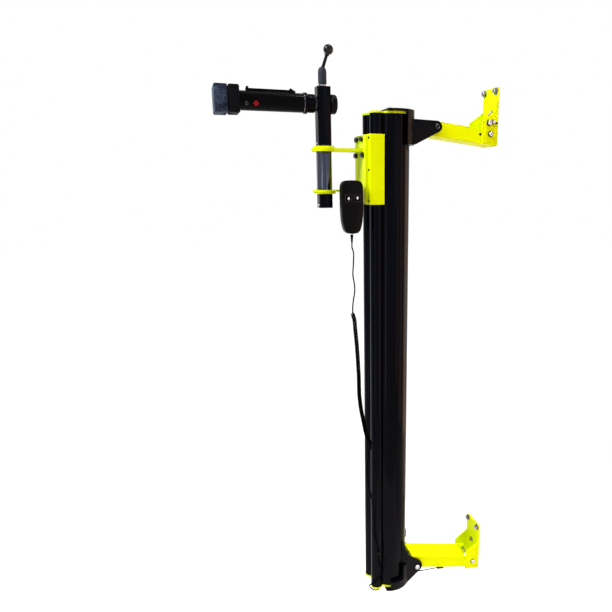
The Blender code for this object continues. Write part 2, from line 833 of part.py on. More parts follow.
def arm_outline(pin, slope, lift=0.0, drop=0.0):
    """An arm's side in (X, Z): a sloping bar through the pin, cut square at the wall bracket."""
    far, near = pin.x - ARM_END, -BRACKET_PLATE - GAP

    def middle(x):
        return pin.z - slope * (x - pin.x)

    half = ARM_HEIGHT / 2
    return [
        (far, middle(far) - half + lift),
        (near, middle(near) - half + lift),
        (near, middle(near) + half - drop),
        (far, middle(far) + half - drop),
    ]


def make_arm(name, pin, slope, middle_drop, opens_up, bolt):
    """A folded channel arm, open above or below, with holes for its two cross bolts."""
    centre = Vector((pin.x, 0, pin.z + middle_drop))
    arm = prism(name, [arm_outline(centre, slope)], "Y", -ARM_HALF, ARM_HALF)
    inner = ARM_HALF - ARM_SHEET
    shift = (ARM_SHEET, -0.02) if opens_up else (-0.02, ARM_SHEET)
    hollow_outline = arm_outline(centre, slope, *shift)
    reach = 0.02
    hollow_outline = [
        (x + (-reach if x < -ARM_MOUTH else reach), z + slope * (reach if x < -ARM_MOUTH else -reach))
        for x, z in hollow_outline
    ]
    cut(arm, prism(f"{name}_hollow", [hollow_outline], "Y", -inner, inner))
    if not opens_up:
        mouth = box(
            f"{name}_mouth",
            (-BRACKET_PLATE - ARM_MOUTH, -inner, LOWER_BRACKET_BOTTOM - 0.02),
            (0.01, inner, LOWER_BRACKET_BOTTOM + BRACKET_HEIGHT),
        )
        cut(arm, mouth)
    for place, radius, label in ((pin, PIN_RADIUS, "pin"), (bolt, WALL_BOLT_RADIUS, "bolt")):
        hole = cylinder(
            f"{name}_{label}_hole",
            radius + GAP,
            (place.x, -ARM_HALF - 0.01, place.z),
            (place.x, ARM_HALF + 0.01, place.z),
            16,
        )
        cut(arm, hole)
    finish(arm, "signal_yellow")


def make_wall_bracket(name, bottom, bolt):
    """A wall bracket: a tall plate with two side flanges that hold the arm."""
    plate = prism(
        name,
        [rectangle(-FLANGE_OUTER, FLANGE_OUTER, bottom, bottom + BRACKET_HEIGHT, 0.004, 2)],
        "X",
        -BRACKET_PLATE,
        0,
    )
    flange = [
        (-BRACKET_PLATE / 2, bottom + 0.0005),
        (-BRACKET_PLATE / 2, bottom + FLANGE_HIGH),
        (-BRACKET_PLATE, bottom + FLANGE_HIGH),
        (-FLANGE_DEPTH, bottom + FLANGE_LOW),
        (-FLANGE_DEPTH, bottom + FLANGE_TOE),
    ]
    for side, label in ((-1, "near"), (1, "far")):
        low, high = sorted((side * FLANGE_INNER, side * (FLANGE_OUTER - 0.0001)))
        join(plate, prism(f"{name}_{label}_flange", [flange], "Y", low, high))
    cross = cylinder(
        f"{name}_cross_hole",
        WALL_BOLT_RADIUS + GAP,
        (bolt.x, -FLANGE_OUTER - 0.01, bolt.z),
        (bolt.x, FLANGE_OUTER + 0.01, bolt.z),
        16,
    )
    cut(plate, cross)
    height = bottom + BRACKET_HEIGHT - WALL_BOLT_INSET
    for side, label in ((-1, "near"), (1, "far")):
        y = side * WALL_BOLT_SPREAD
        cut(
            plate,
            cylinder(
                f"{name}_{label}_hole", WALL_BOLT_RADIUS + GAP, (-0.02, y, height), (0.01, y, height), 16
            ),
        )
    finish(plate, "signal_yellow")
    which = name.split("_")[0]
    for side, label in ((-1, "near"), (1, "far")):
        make_wall_bolt(f"{which}_wall_bolt_{label}", side * WALL_BOLT_SPREAD, height)


def make_wall_bolt(name, y, z):
    """A hexagon bolt with a washer. Its thread in the wall is left out."""
    seat = -BRACKET_PLATE - GAP
    hexagon = WALL_BOLT_ACROSS / math.sqrt(3)
    head_start = seat - WASHER_THICKNESS - WALL_BOLT_HEAD
    bolt = cylinder(name, WASHER_RADIUS, (seat - WASHER_THICKNESS, y, z), (seat, y, z), 16)
    shank_start = seat - WASHER_THICKNESS / 2
    head = cylinder(f"{name}_head", hexagon, (head_start, y, z), (shank_start, y, z), 6)
    shank = cylinder(f"{name}_shank", WALL_BOLT_RADIUS, (shank_start, y, z), (-GAP, y, z), 10)
    join(bolt, head, shank)
    finish(bolt, "zinc")


def make_cross_bolt(name, place, half, radius, finish_name):
    """A bolt across an arm: a hexagon head on one side and a nut on the other."""
    x, z = place.x, place.z
    shank = cylinder(name, radius, (x, -half - 0.003, z), (x, half + 0.008, z), 12)
    head = cylinder(
        f"{name}_head", radius * 1.65, (x, -half - GAP - 0.0055, z), (x, -half - GAP, z), 6
    )
    nut = cylinder(f"{name}_nut", radius * 1.65, (x, half + GAP, z), (x, half + GAP + 0.0055, z), 6)
    join(shank, head, nut)
    finish(shank, finish_name)


def make_wall_side():
    """Both arms, brackets and their bolts."""
    upper_bolt = Vector((-FLANGE_BOLT_BACK, 0, UPPER_BRACKET_BOTTOM + FLANGE_BOLT_RISE))
    lower_bolt = Vector((-FLANGE_BOLT_BACK, 0, LOWER_BRACKET_BOTTOM + FLANGE_BOLT_RISE - 0.002))
    make_wall_bracket("upper_wall_bracket", UPPER_BRACKET_BOTTOM, upper_bolt)
    make_wall_bracket("lower_wall_bracket", LOWER_BRACKET_BOTTOM, lower_bolt)
    make_arm("upper_arm", UPPER_PIN, UPPER_ARM_SLOPE, -0.004, True, upper_bolt)
    make_arm("lower_arm", LOWER_PIN, LOWER_ARM_SLOPE, 0.010, False, lower_bolt)
    make_cross_bolt("upper_flange_bolt", upper_bolt, FLANGE_OUTER, WALL_BOLT_RADIUS, "zinc")
    make_cross_bolt("lower_flange_bolt", lower_bolt, FLANGE_OUTER, WALL_BOLT_RADIUS, "zinc")
    make_cross_bolt("upper_pivot_bolt", UPPER_PIN, EAR_OUTER, PIN_RADIUS, "black_steel")
    make_cross_bolt("lower_pivot_bolt", LOWER_PIN, EAR_OUTER, PIN_RADIUS, "zinc")


def make_drive():
    """Motor, gearbox, bearings and lead screw, stacked inside the column from the bottom plate."""
    bore = COLUMN_RADIUS - COLUMN_WALL
    fit = bore - GAP
    z = BOTTOM_PLATE_HIGH + GAP
    motor_top = z + MOTOR_LENGTH
    motor = turned(
        "motor",
        [
            (0, motor_top),
            (0.014, motor_top),
            (0.014, motor_top - 0.004),
            (MOTOR_RADIUS, motor_top - 0.004),
            (MOTOR_RADIUS, z + 0.010),
            (fit, z + 0.010),
            (fit, z),
            (0, z),
        ],
        (COLUMN_X, 0, 0),
        (0, 0, 1),
    )
    finish(motor, "black_steel")
    z = motor_top + GAP
    gearbox_top = z + GEARBOX_LENGTH
    gearbox = turned(
        "gearbox",
        [
            (0, gearbox_top),
            (GEARBOX_RADIUS - 0.004, gearbox_top),
            (GEARBOX_RADIUS, gearbox_top - 0.004),
            (GEARBOX_RADIUS, z + 0.008),
            (fit, z + 0.008),
            (fit, z),
            (0, z),
        ],
        (COLUMN_X, 0, 0),
        (0, 0, 1),
    )
    finish(gearbox, "zinc")
    lower_bearing = gearbox_top + GAP
    screw_low = lower_bearing + 0.002
    upper_bearing = COLUMN_TOP - BEARING_LENGTH
    for name, low, high, open_low, open_high in (
        ("lower_screw_bearing", lower_bearing, lower_bearing + BEARING_LENGTH, screw_low - GAP, 0.01),
        ("upper_screw_bearing", upper_bearing, COLUMN_TOP, -0.01, 0.01),
    ):
        bearing = cylinder(name, fit, (COLUMN_X, 0, low), (COLUMN_X, 0, high), 24)
        start = open_low if name.startswith("lower") else low - 0.01
        hole = cylinder(
            f"{name}_hole",
            SCREW_JOURNAL + RUNNING,
            (COLUMN_X, 0, start),
            (COLUMN_X, 0, high + open_high),
            20,
        )
        cut(bearing, hole)
        finish(bearing, "bronze")
    body_low = lower_bearing + BEARING_LENGTH + GAP
    body_high = upper_bearing - GAP
    screw = turned(
        "lead_screw",
        [
            (0, COLUMN_TOP - 0.002),
            (SCREW_JOURNAL, COLUMN_TOP - 0.002),
            (SCREW_JOURNAL, body_high),
            (SCREW_RADIUS, body_high),
            (SCREW_RADIUS, body_low),
            (SCREW_JOURNAL, body_low),
            (SCREW_JOURNAL, screw_low),
            (0, screw_low),
        ],
        (COLUMN_X, 0, 0),
        (0, 0, 1),
        16,
    )
    finish(screw, "bright_steel")
    return screw


def make_drive_nut():
    """The nut on the screw, and the bracket that reaches through the slot to the carriage."""
    middle = CARRIAGE_BOTTOM + CARRIAGE_LENGTH / 2
    eye_low, eye_high = middle - DRIVE_EYE_LENGTH / 2, middle + DRIVE_EYE_LENGTH / 2
    flange_low = eye_low - GAP - NUT_FLANGE_LENGTH
    bore = SCREW_RADIUS + RUNNING
    nut = turned(
        "drive_nut",
        [
            (bore, flange_low + NUT_LENGTH),
            (NUT_RADIUS, flange_low + NUT_LENGTH),
            (NUT_RADIUS, flange_low + NUT_FLANGE_LENGTH),
            (NUT_FLANGE, flange_low + NUT_FLANGE_LENGTH),
            (NUT_FLANGE, flange_low),
            (bore, flange_low),
            (bore, flange_low + NUT_LENGTH),
        ],
        (COLUMN_X, 0, 0),
        (0, 0, 1),
        24,
    )
    finish(nut, "bronze")
    bracket = cylinder("drive_bracket", DRIVE_EYE, (COLUMN_X, 0, eye_low), (COLUMN_X, 0, eye_high))
    bar = box(
        "drive_bar",
        (SHEET_INNER + GAP, -DRIVE_BAR / 2, middle - DRIVE_FOOT / 2),
        (COLUMN_X - NUT_FLANGE - GAP, DRIVE_BAR / 2, middle + DRIVE_FOOT / 2),
    )
    eye = cylinder(
        "drive_eye_hole", NUT_RADIUS + GAP, (COLUMN_X, 0, eye_low - 0.02), (COLUMN_X, 0, eye_high + 0.02), 24
    )
    join(bracket, bar)
    cut(bracket, eye)
    finish(bracket, "zinc")
    return [nut, bracket]


def make_carriage():
    """The folded carriage sheet, its two guide shoes and the nut."""
    inner_corner = max(CARRIAGE_CORNER - CARRIAGE_SHEET, 0.001)
    outer = [
        (CARRIAGE_BACK, -CHEEK_OUTER),
        (CARRIAGE_BACK, -CHEEK_INNER),
        *reversed(
            arc(SHEET_INNER + inner_corner, -CHEEK_INNER + inner_corner, inner_corner, 180, 270, 3)
        ),
        *reversed(
            arc(SHEET_INNER + inner_corner, CHEEK_INNER - inner_corner, inner_corner, 90, 180, 3)
        ),
        (CARRIAGE_BACK, CHEEK_INNER),
        (CARRIAGE_BACK, CHEEK_OUTER),
        *arc(SHEET_OUTER + CARRIAGE_CORNER, CHEEK_OUTER - CARRIAGE_CORNER, CARRIAGE_CORNER, 90, 180, 4),
        *arc(SHEET_OUTER + CARRIAGE_CORNER, -CHEEK_OUTER + CARRIAGE_CORNER, CARRIAGE_CORNER, 180, 270, 4),
    ]
    sheet = prism("carriage_sheet", [outer], "Z", CARRIAGE_BOTTOM, CARRIAGE_TOP)
    for label, y, z in mast_bolt_places():
        cut(
            sheet,
            cylinder(
                f"{label}_sheet_hole",
                BOLT_RADIUS + GAP,
                (SHEET_OUTER - 0.01, y, z),
                (SHEET_INNER + 0.01, y, z),
                12,
            ),
        )
    finish(sheet, "signal_yellow")
    pieces = [sheet]
    for name, low in (
        ("upper_guide_shoe", CARRIAGE_TOP - SHOE_INSET - SHOE_LENGTH),
        ("lower_guide_shoe", CARRIAGE_BOTTOM + SHOE_INSET),
    ):
        high = low + SHOE_LENGTH
        shoe = box(name, (SHOE_FRONT, -SHOE_HALF, low), (CARRIAGE_BACK - 0.001, SHOE_HALF, high))
        round_edges(shoe, CARRIAGE_CORNER - CARRIAGE_SHEET, 1)
        column = cylinder(
            f"{name}_column",
            COLUMN_RADIUS + RUNNING,
            (COLUMN_X, 0, low - 0.01),
            (COLUMN_X, 0, high + 0.01),
            COLUMN_SIDES,
        )
        cut(shoe, column)
        for side, label in ((-1, "near"), (1, "far")):
            y = side * RAIL_SPREAD
            rail = cylinder(
                f"{name}_{label}_rail",
                RAIL_RADIUS + RUNNING,
                (RAIL_X, y, low - 0.01),
                (RAIL_X, y, high + 0.01),
                RAIL_SIDES,
            )
            cut(shoe, rail)
        finish(shoe, "nylon")
        pieces.append(shoe)
    return pieces + make_drive_nut()


def mast_bolt_places():
    """Names and places of the four bolts that hold the mast bracket on the carriage."""
    upper, lower = CARRIAGE_TOP - UPPER_BOLT_DROP, CARRIAGE_TOP - LOWER_BOLT_DROP
    return [
        ("mast_bolt_upper_near", -UPPER_BOLT_SPREAD, upper),
        ("mast_bolt_upper_far", UPPER_BOLT_SPREAD, upper),
        ("mast_bolt_lower_near", -LOWER_BOLT_SPREAD, lower),
        ("mast_bolt_lower_far", LOWER_BOLT_SPREAD, lower),
    ]


def fork_outline():
    """A fork in (X, Y): a straight strip that ends in a round eye."""
    across = math.degrees(math.asin(FORK_HALF / EYE_RADIUS))
    eye = arc(MAST_X, 0, EYE_RADIUS, across, 360 - across, 14)
    root = PLATE_FACE + BRACKET_BACK / 2
    return [(root, FORK_HALF), *eye, (root, -FORK_HALF)]


def make_mast_bracket():
    """The welded bracket with two forks, its bolts and the bushes in its eyes."""
    bracket = prism(
        "mast_bracket",
        [rectangle(-BRACKET_HALF, BRACKET_HALF, CARRIAGE_BOTTOM + 0.002, CARRIAGE_TOP - 0.001, 0.003)],
        "X",
        PLATE_FACE,
        PLATE_BACK,
    )
    axis = (MAST_X, 0)
    join(bracket, prism("upper_fork", [fork_outline()], "Z", UPPER_FORK_LOW, UPPER_FORK_HIGH))
    join(bracket, prism("lower_fork", [fork_outline()], "Z", LOWER_FORK_LOW, LOWER_FORK_HIGH))
    join(
        bracket,
        cylinder("upper_boss", BOSS_RADIUS, (*axis, UPPER_FORK_LOW + 0.002), (*axis, UPPER_BOSS)),
        cylinder("lower_boss", BOSS_RADIUS, (*axis, LOWER_BOSS), (*axis, LOWER_FORK_HIGH - 0.002)),
    )
    cut(
        bracket,
        cylinder("eye_bore", BUSH_RADIUS + GAP, (*axis, LOWER_BOSS - 0.01), (*axis, UPPER_BOSS + 0.01)),
    )
    prong = prong_box(GAP)
    cut(bracket, box("prong_slot", *prong))
    pieces = [bracket]
    for label, y, z in mast_bolt_places():
        cut(
            bracket,
            cylinder(
                f"{label}_plate_hole",
                BOLT_RADIUS + GAP,
                (PLATE_FACE - 0.01, y, z),
                (PLATE_BACK + 0.01, y, z),
                12,
            ),
        )
        pieces.append(make_socket_bolt(label, y, z))
    finish(bracket, "signal_yellow")
    for name, low, high in (
        ("upper_bush", UPPER_FORK_LOW, UPPER_BOSS),
        ("lower_bush", LOWER_BOSS, LOWER_FORK_HIGH),
    ):
        bush = turned(
            name,
            [
                (SPINDLE_RADIUS + RUNNING, high),
                (BUSH_RADIUS, high),
                (BUSH_RADIUS, low),
                (SPINDLE_RADIUS + RUNNING, low),
                (SPINDLE_RADIUS + RUNNING, high),
            ],
            (*axis, 0),
            (0, 0, 1),
        )
        finish(bush, "bronze")
        pieces.append(bush)
    return pieces


def make_socket_bolt(name, y, z):
    """A round-headed bolt with a hexagon socket."""
    seat = PLATE_FACE - GAP
    bolt = cylinder(name, BOLT_HEAD, (seat - BOLT_HEAD_LENGTH, y, z), (seat, y, z), 14)
    shank = cylinder(f"{name}_shank", BOLT_RADIUS, (seat - 0.002, y, z), (SHEET_INNER - GAP, y, z), 8)
    socket = cylinder(
        f"{name}_socket",
        SOCKET_RADIUS,
        (seat - BOLT_HEAD_LENGTH - 0.01, y, z),
        (seat - BOLT_HEAD_LENGTH / 2, y, z),
        6,
    )
    join(bolt, shank)
    cut(bolt, socket)
    return finish(bolt, "black_steel")


def make_mast():
    """The square post on its round spindle, and the square foot screwed to the spindle's tail."""
    half = POST_HALF
    post = prism(
        "mast_post",
        [rectangle(MAST_X - half, MAST_X + half, -half, half, POST_CORNER, 2)],
        "Z",
        POST_BOTTOM,
        POST_TOP,
    )
    foot_top = LOWER_BOSS - RUNNING
    foot_bottom = foot_top - FOOT_LENGTH
    axis = (MAST_X, 0)
    spindle = cylinder("spindle", SPINDLE_RADIUS, (*axis, foot_top), (*axis, POST_BOTTOM + 0.004))
    tail_low = foot_top - TAIL_LENGTH
    tail = cylinder("spindle_tail", TAIL_RADIUS, (*axis, tail_low), (*axis, foot_top + 0.004), 20)
    clamp_bore = cylinder(
        "clamp_bore",
        CLAMP_SPINDLE + RUNNING,
        (MAST_X - half - 0.01, 0, CLAMP_Z),
        (MAST_X + half + 0.01, 0, CLAMP_Z),
        24,
    )
    join(post, spindle, tail)
    cut(post, clamp_bore)
    finish(post, "black_steel")
    foot = prism(
        "mast_foot",
        [rectangle(MAST_X - half, MAST_X + half, -half, half, POST_CORNER, 2)],
        "Z",
        foot_bottom,
        foot_top - GAP,
    )
    socket = cylinder(
        "foot_socket",
        TAIL_RADIUS + GAP,
        (*axis, foot_top - TAIL_LENGTH - GAP),
        (*axis, foot_top + 0.01),
        20,
    )
    cut(foot, socket)
    finish(foot, "black_steel")
    return [post, foot]


def make_lever():
    """The hub on top of the post, its leaning rod and the ball."""
    base = POST_TOP + RUNNING
    shoulder = base + LEVER_STEM_LENGTH
    top = shoulder + HUB_LENGTH
    hub = turned(
        "lever_hub",
        [
            (0, top),
            (HUB_RADIUS * 0.55, top),
            (HUB_RADIUS * 0.85, top - 0.005),
            (HUB_RADIUS, top - 0.012),
            (HUB_RADIUS, shoulder + 0.002),
            (HUB_RADIUS - 0.0015, shoulder),
            (LEVER_STEM, shoulder),
            (LEVER_STEM, base),
            (0, base),
        ],
        (MAST_X, 0, 0),
        (0, 0, 1),
        16,
    )
    ball_place = Vector((MAST_X + LEVER_LEAN, 0, POST_TOP + LEVER_RISE))
    foot = Vector((MAST_X, 0, top - ROD_SEAT))
    along = (ball_place - foot).normalized()
    hole = cylinder("lever_hub_hole", LEVER_ROD + GAP, foot - along * GAP, foot + along * 0.03, 16)
    cut(hub, hole)
    finish(hub, "black_steel")
    rod_end = ball_place - along * (BALL_RADIUS - ROD_SEAT)
    rod = cylinder("lever_rod", LEVER_ROD, foot, rod_end, 16)
    finish(rod, "black_steel")
    shape = bmesh.new()
    bmesh.ops.create_uvsphere(shape, u_segments=14, v_segments=9, radius=BALL_RADIUS)
    mesh = bpy.data.meshes.new("lever_ball")
    shape.to_mesh(mesh)
    shape.free()
    ball = add_object("lever_ball", mesh)
    ball.location = ball_place
    ball.rotation_euler = along.to_track_quat("Z", "Y").to_euler()
    seat = cylinder(
        "lever_ball_hole", LEVER_ROD + GAP, ball_place - along * 0.03, rod_end + along * GAP, 16
    )
    cut(ball, seat)
    finish(ball, "black_plastic")
    return [hub, rod, ball]


def make_clamp():
    """The clamp head: spindle through the post, collar, tube, inner jaw and top bar."""
    half = POST_HALF
    front = MAST_X - half - RUNNING
    back = MAST_X + half + RUNNING
    shoulder_end = front - CLAMP_SHOULDER_LENGTH
    ring_end = shoulder_end - 2 * RUNNING - RING_LENGTH
    collar_end = ring_end - COLLAR_LENGTH
    tube_start = collar_end - GAP
    tube_end = tube_start - TUBE_LENGTH
    axis = (0, CLAMP_Z)
    tube_bore = TUBE_RADIUS - TUBE_WALL

    def across(name, profile, segments=20):
        """Turned about the clamp's axis, with distances as X."""
        return turned(name, profile, (0, *axis), (1, 0, 0), segments)

    spindle = across(
        "clamp_spindle",
        [
            (0, back + KNOB_LENGTH * 0.75),
            (KNOB_BORE, back + KNOB_LENGTH * 0.75),
            (KNOB_BORE, back),
            (CLAMP_SPINDLE, back),
            (CLAMP_SPINDLE, front),
            (CLAMP_SHOULDER, front),
            (CLAMP_SHOULDER, shoulder_end),
            (CLAMP_STUB, shoulder_end),
            (CLAMP_STUB, collar_end - COLLAR_SPIGOT),
            (0, collar_end - COLLAR_SPIGOT),
        ],
    )
    finish(spindle, "zinc")
    collar = across(
        "clamp_collar",
        [
            (CLAMP_STUB + GAP, ring_end),
            (COLLAR_RADIUS - 0.0015, ring_end),
            (COLLAR_RADIUS, ring_end - 0.0015),
            (COLLAR_RADIUS, collar_end),
            (tube_bore - GAP, collar_end),
            (tube_bore - GAP, collar_end - COLLAR_SPIGOT),
            (CLAMP_STUB + GAP, collar_end - COLLAR_SPIGOT),
            (CLAMP_STUB + GAP, ring_end),
        ],
    )
    finish(collar, "black_steel")
    tube = across(
        "clamp_tube",
        [
            (tube_bore, tube_start),
            (TUBE_RADIUS, tube_start),
            (TUBE_RADIUS, tube_end),
            (tube_bore, tube_end),
            (tube_bore, tube_start),
        ],
        TUBE_SIDES,
    )
    button_place, button_out = button_seat(tube_end)
    hole = cylinder(
        "button_hole",
        BUTTON_RADIUS + RUNNING,
        button_place - button_out * 0.012,
        button_place + button_out * 0.02,
        20,
    )
    cut(tube, hole)
    finish(tube, "black_steel")
    jaw = make_inner_jaw(tube_end - GAP)
    bar = make_top_bar(tube_end)
    ring = make_ring(shoulder_end - RUNNING, ring_end + RUNNING)
    knob = across(
        "rear_knob",
        [
            (0, back + KNOB_LENGTH),
            (KNOB_RADIUS - 0.004, back + KNOB_LENGTH),
            (KNOB_RADIUS - 0.0015, back + KNOB_LENGTH - 0.0015),
            (KNOB_RADIUS, back + KNOB_LENGTH - 0.005),
            (KNOB_RADIUS, back + 0.002),
            (KNOB_RADIUS - 0.002, back + RUNNING),
            (KNOB_BORE + GAP, back + RUNNING),
            (KNOB_BORE + GAP, back + KNOB_LENGTH * 0.75 + GAP),
            (0, back + KNOB_LENGTH * 0.75 + GAP),
        ],
    )
    finish(knob, "black_plastic")
    outer = make_outer_jaw(tube_end)
    button = cylinder(
        "release_button",
        BUTTON_RADIUS,
        button_place - button_out * (BUTTON_DEPTH - BUTTON_PROUD),
        button_place + button_out * BUTTON_PROUD,
        20,
    )
    finish(button, "red_plastic")
    return [spindle, collar, tube, jaw, bar], ring, knob, outer, button


def button_seat(tube_end):
    """Where the release button leaves the tube's near side, and which way it faces."""
    angle = math.radians(BUTTON_TURN)
    out = Vector((0, -math.cos(angle), -math.sin(angle)))
    return Vector((tube_end + BUTTON_BACK, 0, CLAMP_Z)) + out * TUBE_RADIUS, out


def split_x(tube_end):
    """Where the two jaws meet, which is also the seat post's axis."""
    return tube_end - GAP - JAW_LENGTH - JAW_GAP / 2


def post_groove(name, tube_end):
    """The seat post's place between the jaws."""
    x = split_x(tube_end)
    reach = JAW_HALF_HEIGHT + 0.02
    return cylinder(name, SEAT_POST_RADIUS, (x, 0, CLAMP_Z - reach), (x, 0, CLAMP_Z + reach))


def make_inner_jaw(start):
    """The fixed jaw on the end of the clamp tube."""
    jaw = box(
        "inner_jaw",
        (start - JAW_LENGTH, -JAW_NEAR, CLAMP_Z - JAW_HALF_HEIGHT),
        (start, JAW_FAR, CLAMP_Z + JAW_HALF_HEIGHT),
    )
    round_edges(jaw, JAW_EDGE)
    cut(jaw, post_groove("inner_groove", start + GAP))
    return finish(jaw, "black_rubber")


def make_outer_jaw(tube_end):
    """The sliding jaw, with the bridge past the seat post that runs along the tube's far side."""
    near_face = split_x(tube_end) - JAW_GAP / 2
    bridge_low = JAW_FAR + RUNNING
    jaw = box(
        "outer_jaw",
        (near_face - OUTER_JAW_LENGTH, -JAW_NEAR, CLAMP_Z - JAW_HALF_HEIGHT),
        (near_face, bridge_low + BRIDGE_THICKNESS, CLAMP_Z + JAW_HALF_HEIGHT),
    )
    round_edges(jaw, JAW_EDGE)
    end = tube_end + BRIDGE_REACH
    bridge = box(
        "jaw_bridge",
        (near_face - OUTER_JAW_LENGTH / 2, bridge_low, CLAMP_Z - BRIDGE_HALF_HEIGHT),
        (end, bridge_low + BRIDGE_THICKNESS - 0.0005, CLAMP_Z + BRIDGE_HALF_HEIGHT),
    )
    foot = box(
        "bridge_foot",
        (end - BRIDGE_FOOT, 0.010, CLAMP_Z - BRIDGE_HALF_HEIGHT + 0.002),
        (end - 0.0005, bridge_low + 0.003, CLAMP_Z + BRIDGE_HALF_HEIGHT - 0.002),
    )
    run = cylinder(
        "bridge_tube",
        TUBE_RADIUS + RUNNING,
        (end - 3 * BRIDGE_FOOT, 0, CLAMP_Z),
        (end + BRIDGE_FOOT, 0, CLAMP_Z),
        TUBE_SIDES,
    )
    join(jaw, bridge, foot)
    cut(jaw, run, post_groove("outer_groove", tube_end))
    return finish(jaw, "black_rubber")


def make_top_bar(tube_end):
    """The flat bar on top of the tube, with a peg at one end and a wedge at the other."""
    start = tube_end + RAIL_BAR_START
    end = start + RAIL_BAR_LENGTH
    low = CLAMP_Z + TUBE_RADIUS - 0.003
    high = CLAMP_Z + TUBE_RADIUS + GAP + RAIL_BAR_HEIGHT
    side = [
        (start, low),
        (end + WEDGE_LENGTH, low),
        (end + WEDGE_LENGTH, high - RAIL_BAR_HEIGHT / 2),
        (end + 0.001, high + WEDGE_HEIGHT),
        (end - 0.002, high),
        (start, high),
    ]
    bar = prism("clamp_top_bar", [side], "Y", -RAIL_BAR_WIDTH / 2, RAIL_BAR_WIDTH / 2)
    peg = cylinder(
        "bar_peg",
        PEG_RADIUS,
        (start + PEG_RADIUS + 0.001, 0, high - 0.002),
        (start + PEG_RADIUS + 0.001, 0, high + PEG_LENGTH),
        16,
    )
    tube = cylinder(
        "bar_tube",
        TUBE_RADIUS + GAP,
        (start - 0.02, 0, CLAMP_Z),
        (end + WEDGE_LENGTH + 0.02, 0, CLAMP_Z),
        TUBE_SIDES,
    )
    join(bar, peg)
    cut(bar, tube)
    return finish(bar, "black_steel")


def make_ring(high, low):
    """The knurled lock ring between the post and the collar."""
    edge = []
    for i in range(RING_RIDGES):
        turn = 2 * math.pi / RING_RIDGES
        for share, radius in ((0.0, RING_RADIUS), (0.5, RING_RADIUS + RING_RIDGE)):
            angle = (i + share) * turn
            edge.append((radius * math.cos(angle), CLAMP_Z + radius * math.sin(angle)))
    hole = circle(0, CLAMP_Z, CLAMP_STUB + RUNNING, 24)
    ring = prism("lock_ring", [edge, hole], "X", low, high)
    return finish(ring, "black_steel")


def handset_outline(inset=0.0):
    """The handset's front view in (X, Z): broad at the top and narrow at the cord."""
    half, length = HANDSET_HALF, HANDSET_LENGTH
    side = [
        (0.54, 1.000),
        (0.90, 0.950),
        (1.00, 0.850),
        (1.00, 0.640),
        (0.97, 0.350),
        (0.83, 0.150),
        (0.50, 0.030),
    ]
    half_points = [(half * across, HANDSET_BOTTOM + length * up) for across, up in side]
    right = [(HANDSET_X + across, up) for across, up in half_points]
    left = [(HANDSET_X - across, up) for across, up in reversed(half_points)]
    outline = round_outline(right + left)
    return offset_outline(outline, inset) if inset else outline


def round_outline(points, steps=2):
    """A closed smooth curve through an outline's points."""
    count = len(points)
    result = []
    for i in range(count):
        a, b, c, d = (np.array(points[(i + k) % count]) for k in (-1, 0, 1, 2))
        for step in range(steps):
            result.append(tuple(between(a, b, c, d, step / steps)))
    return result


def offset_outline(points, inset):
    """An outline drawn in all round. Its points run clockwise."""
    count = len(points)
    result = []
    for i in range(count):
        before, after = np.array(points[i - 1]), np.array(points[(i + 1) % count])
        along = (after - before) / np.linalg.norm(after - before)
        result.append(tuple(np.array(points[i]) + inset * np.array((along[1], -along[0]))))
    return result


def prong_box(clearance):
    """The hook's prong, or the slot for it in the lower fork."""
    y = -FORK_HALF + PRONG_INSET
    half = HOOK_WIDTH / 2 + clearance
    low = LOWER_FORK_LOW - (0.01 if clearance else 0)
    high = LOWER_FORK_HIGH + (0.01 if clearance else 0.001)
    return (
        (HANDSET_X - half, y - HOOK_SHEET / 2 - clearance, low),
        (HANDSET_X + half, y + HOOK_SHEET / 2 + clearance, high),
    )


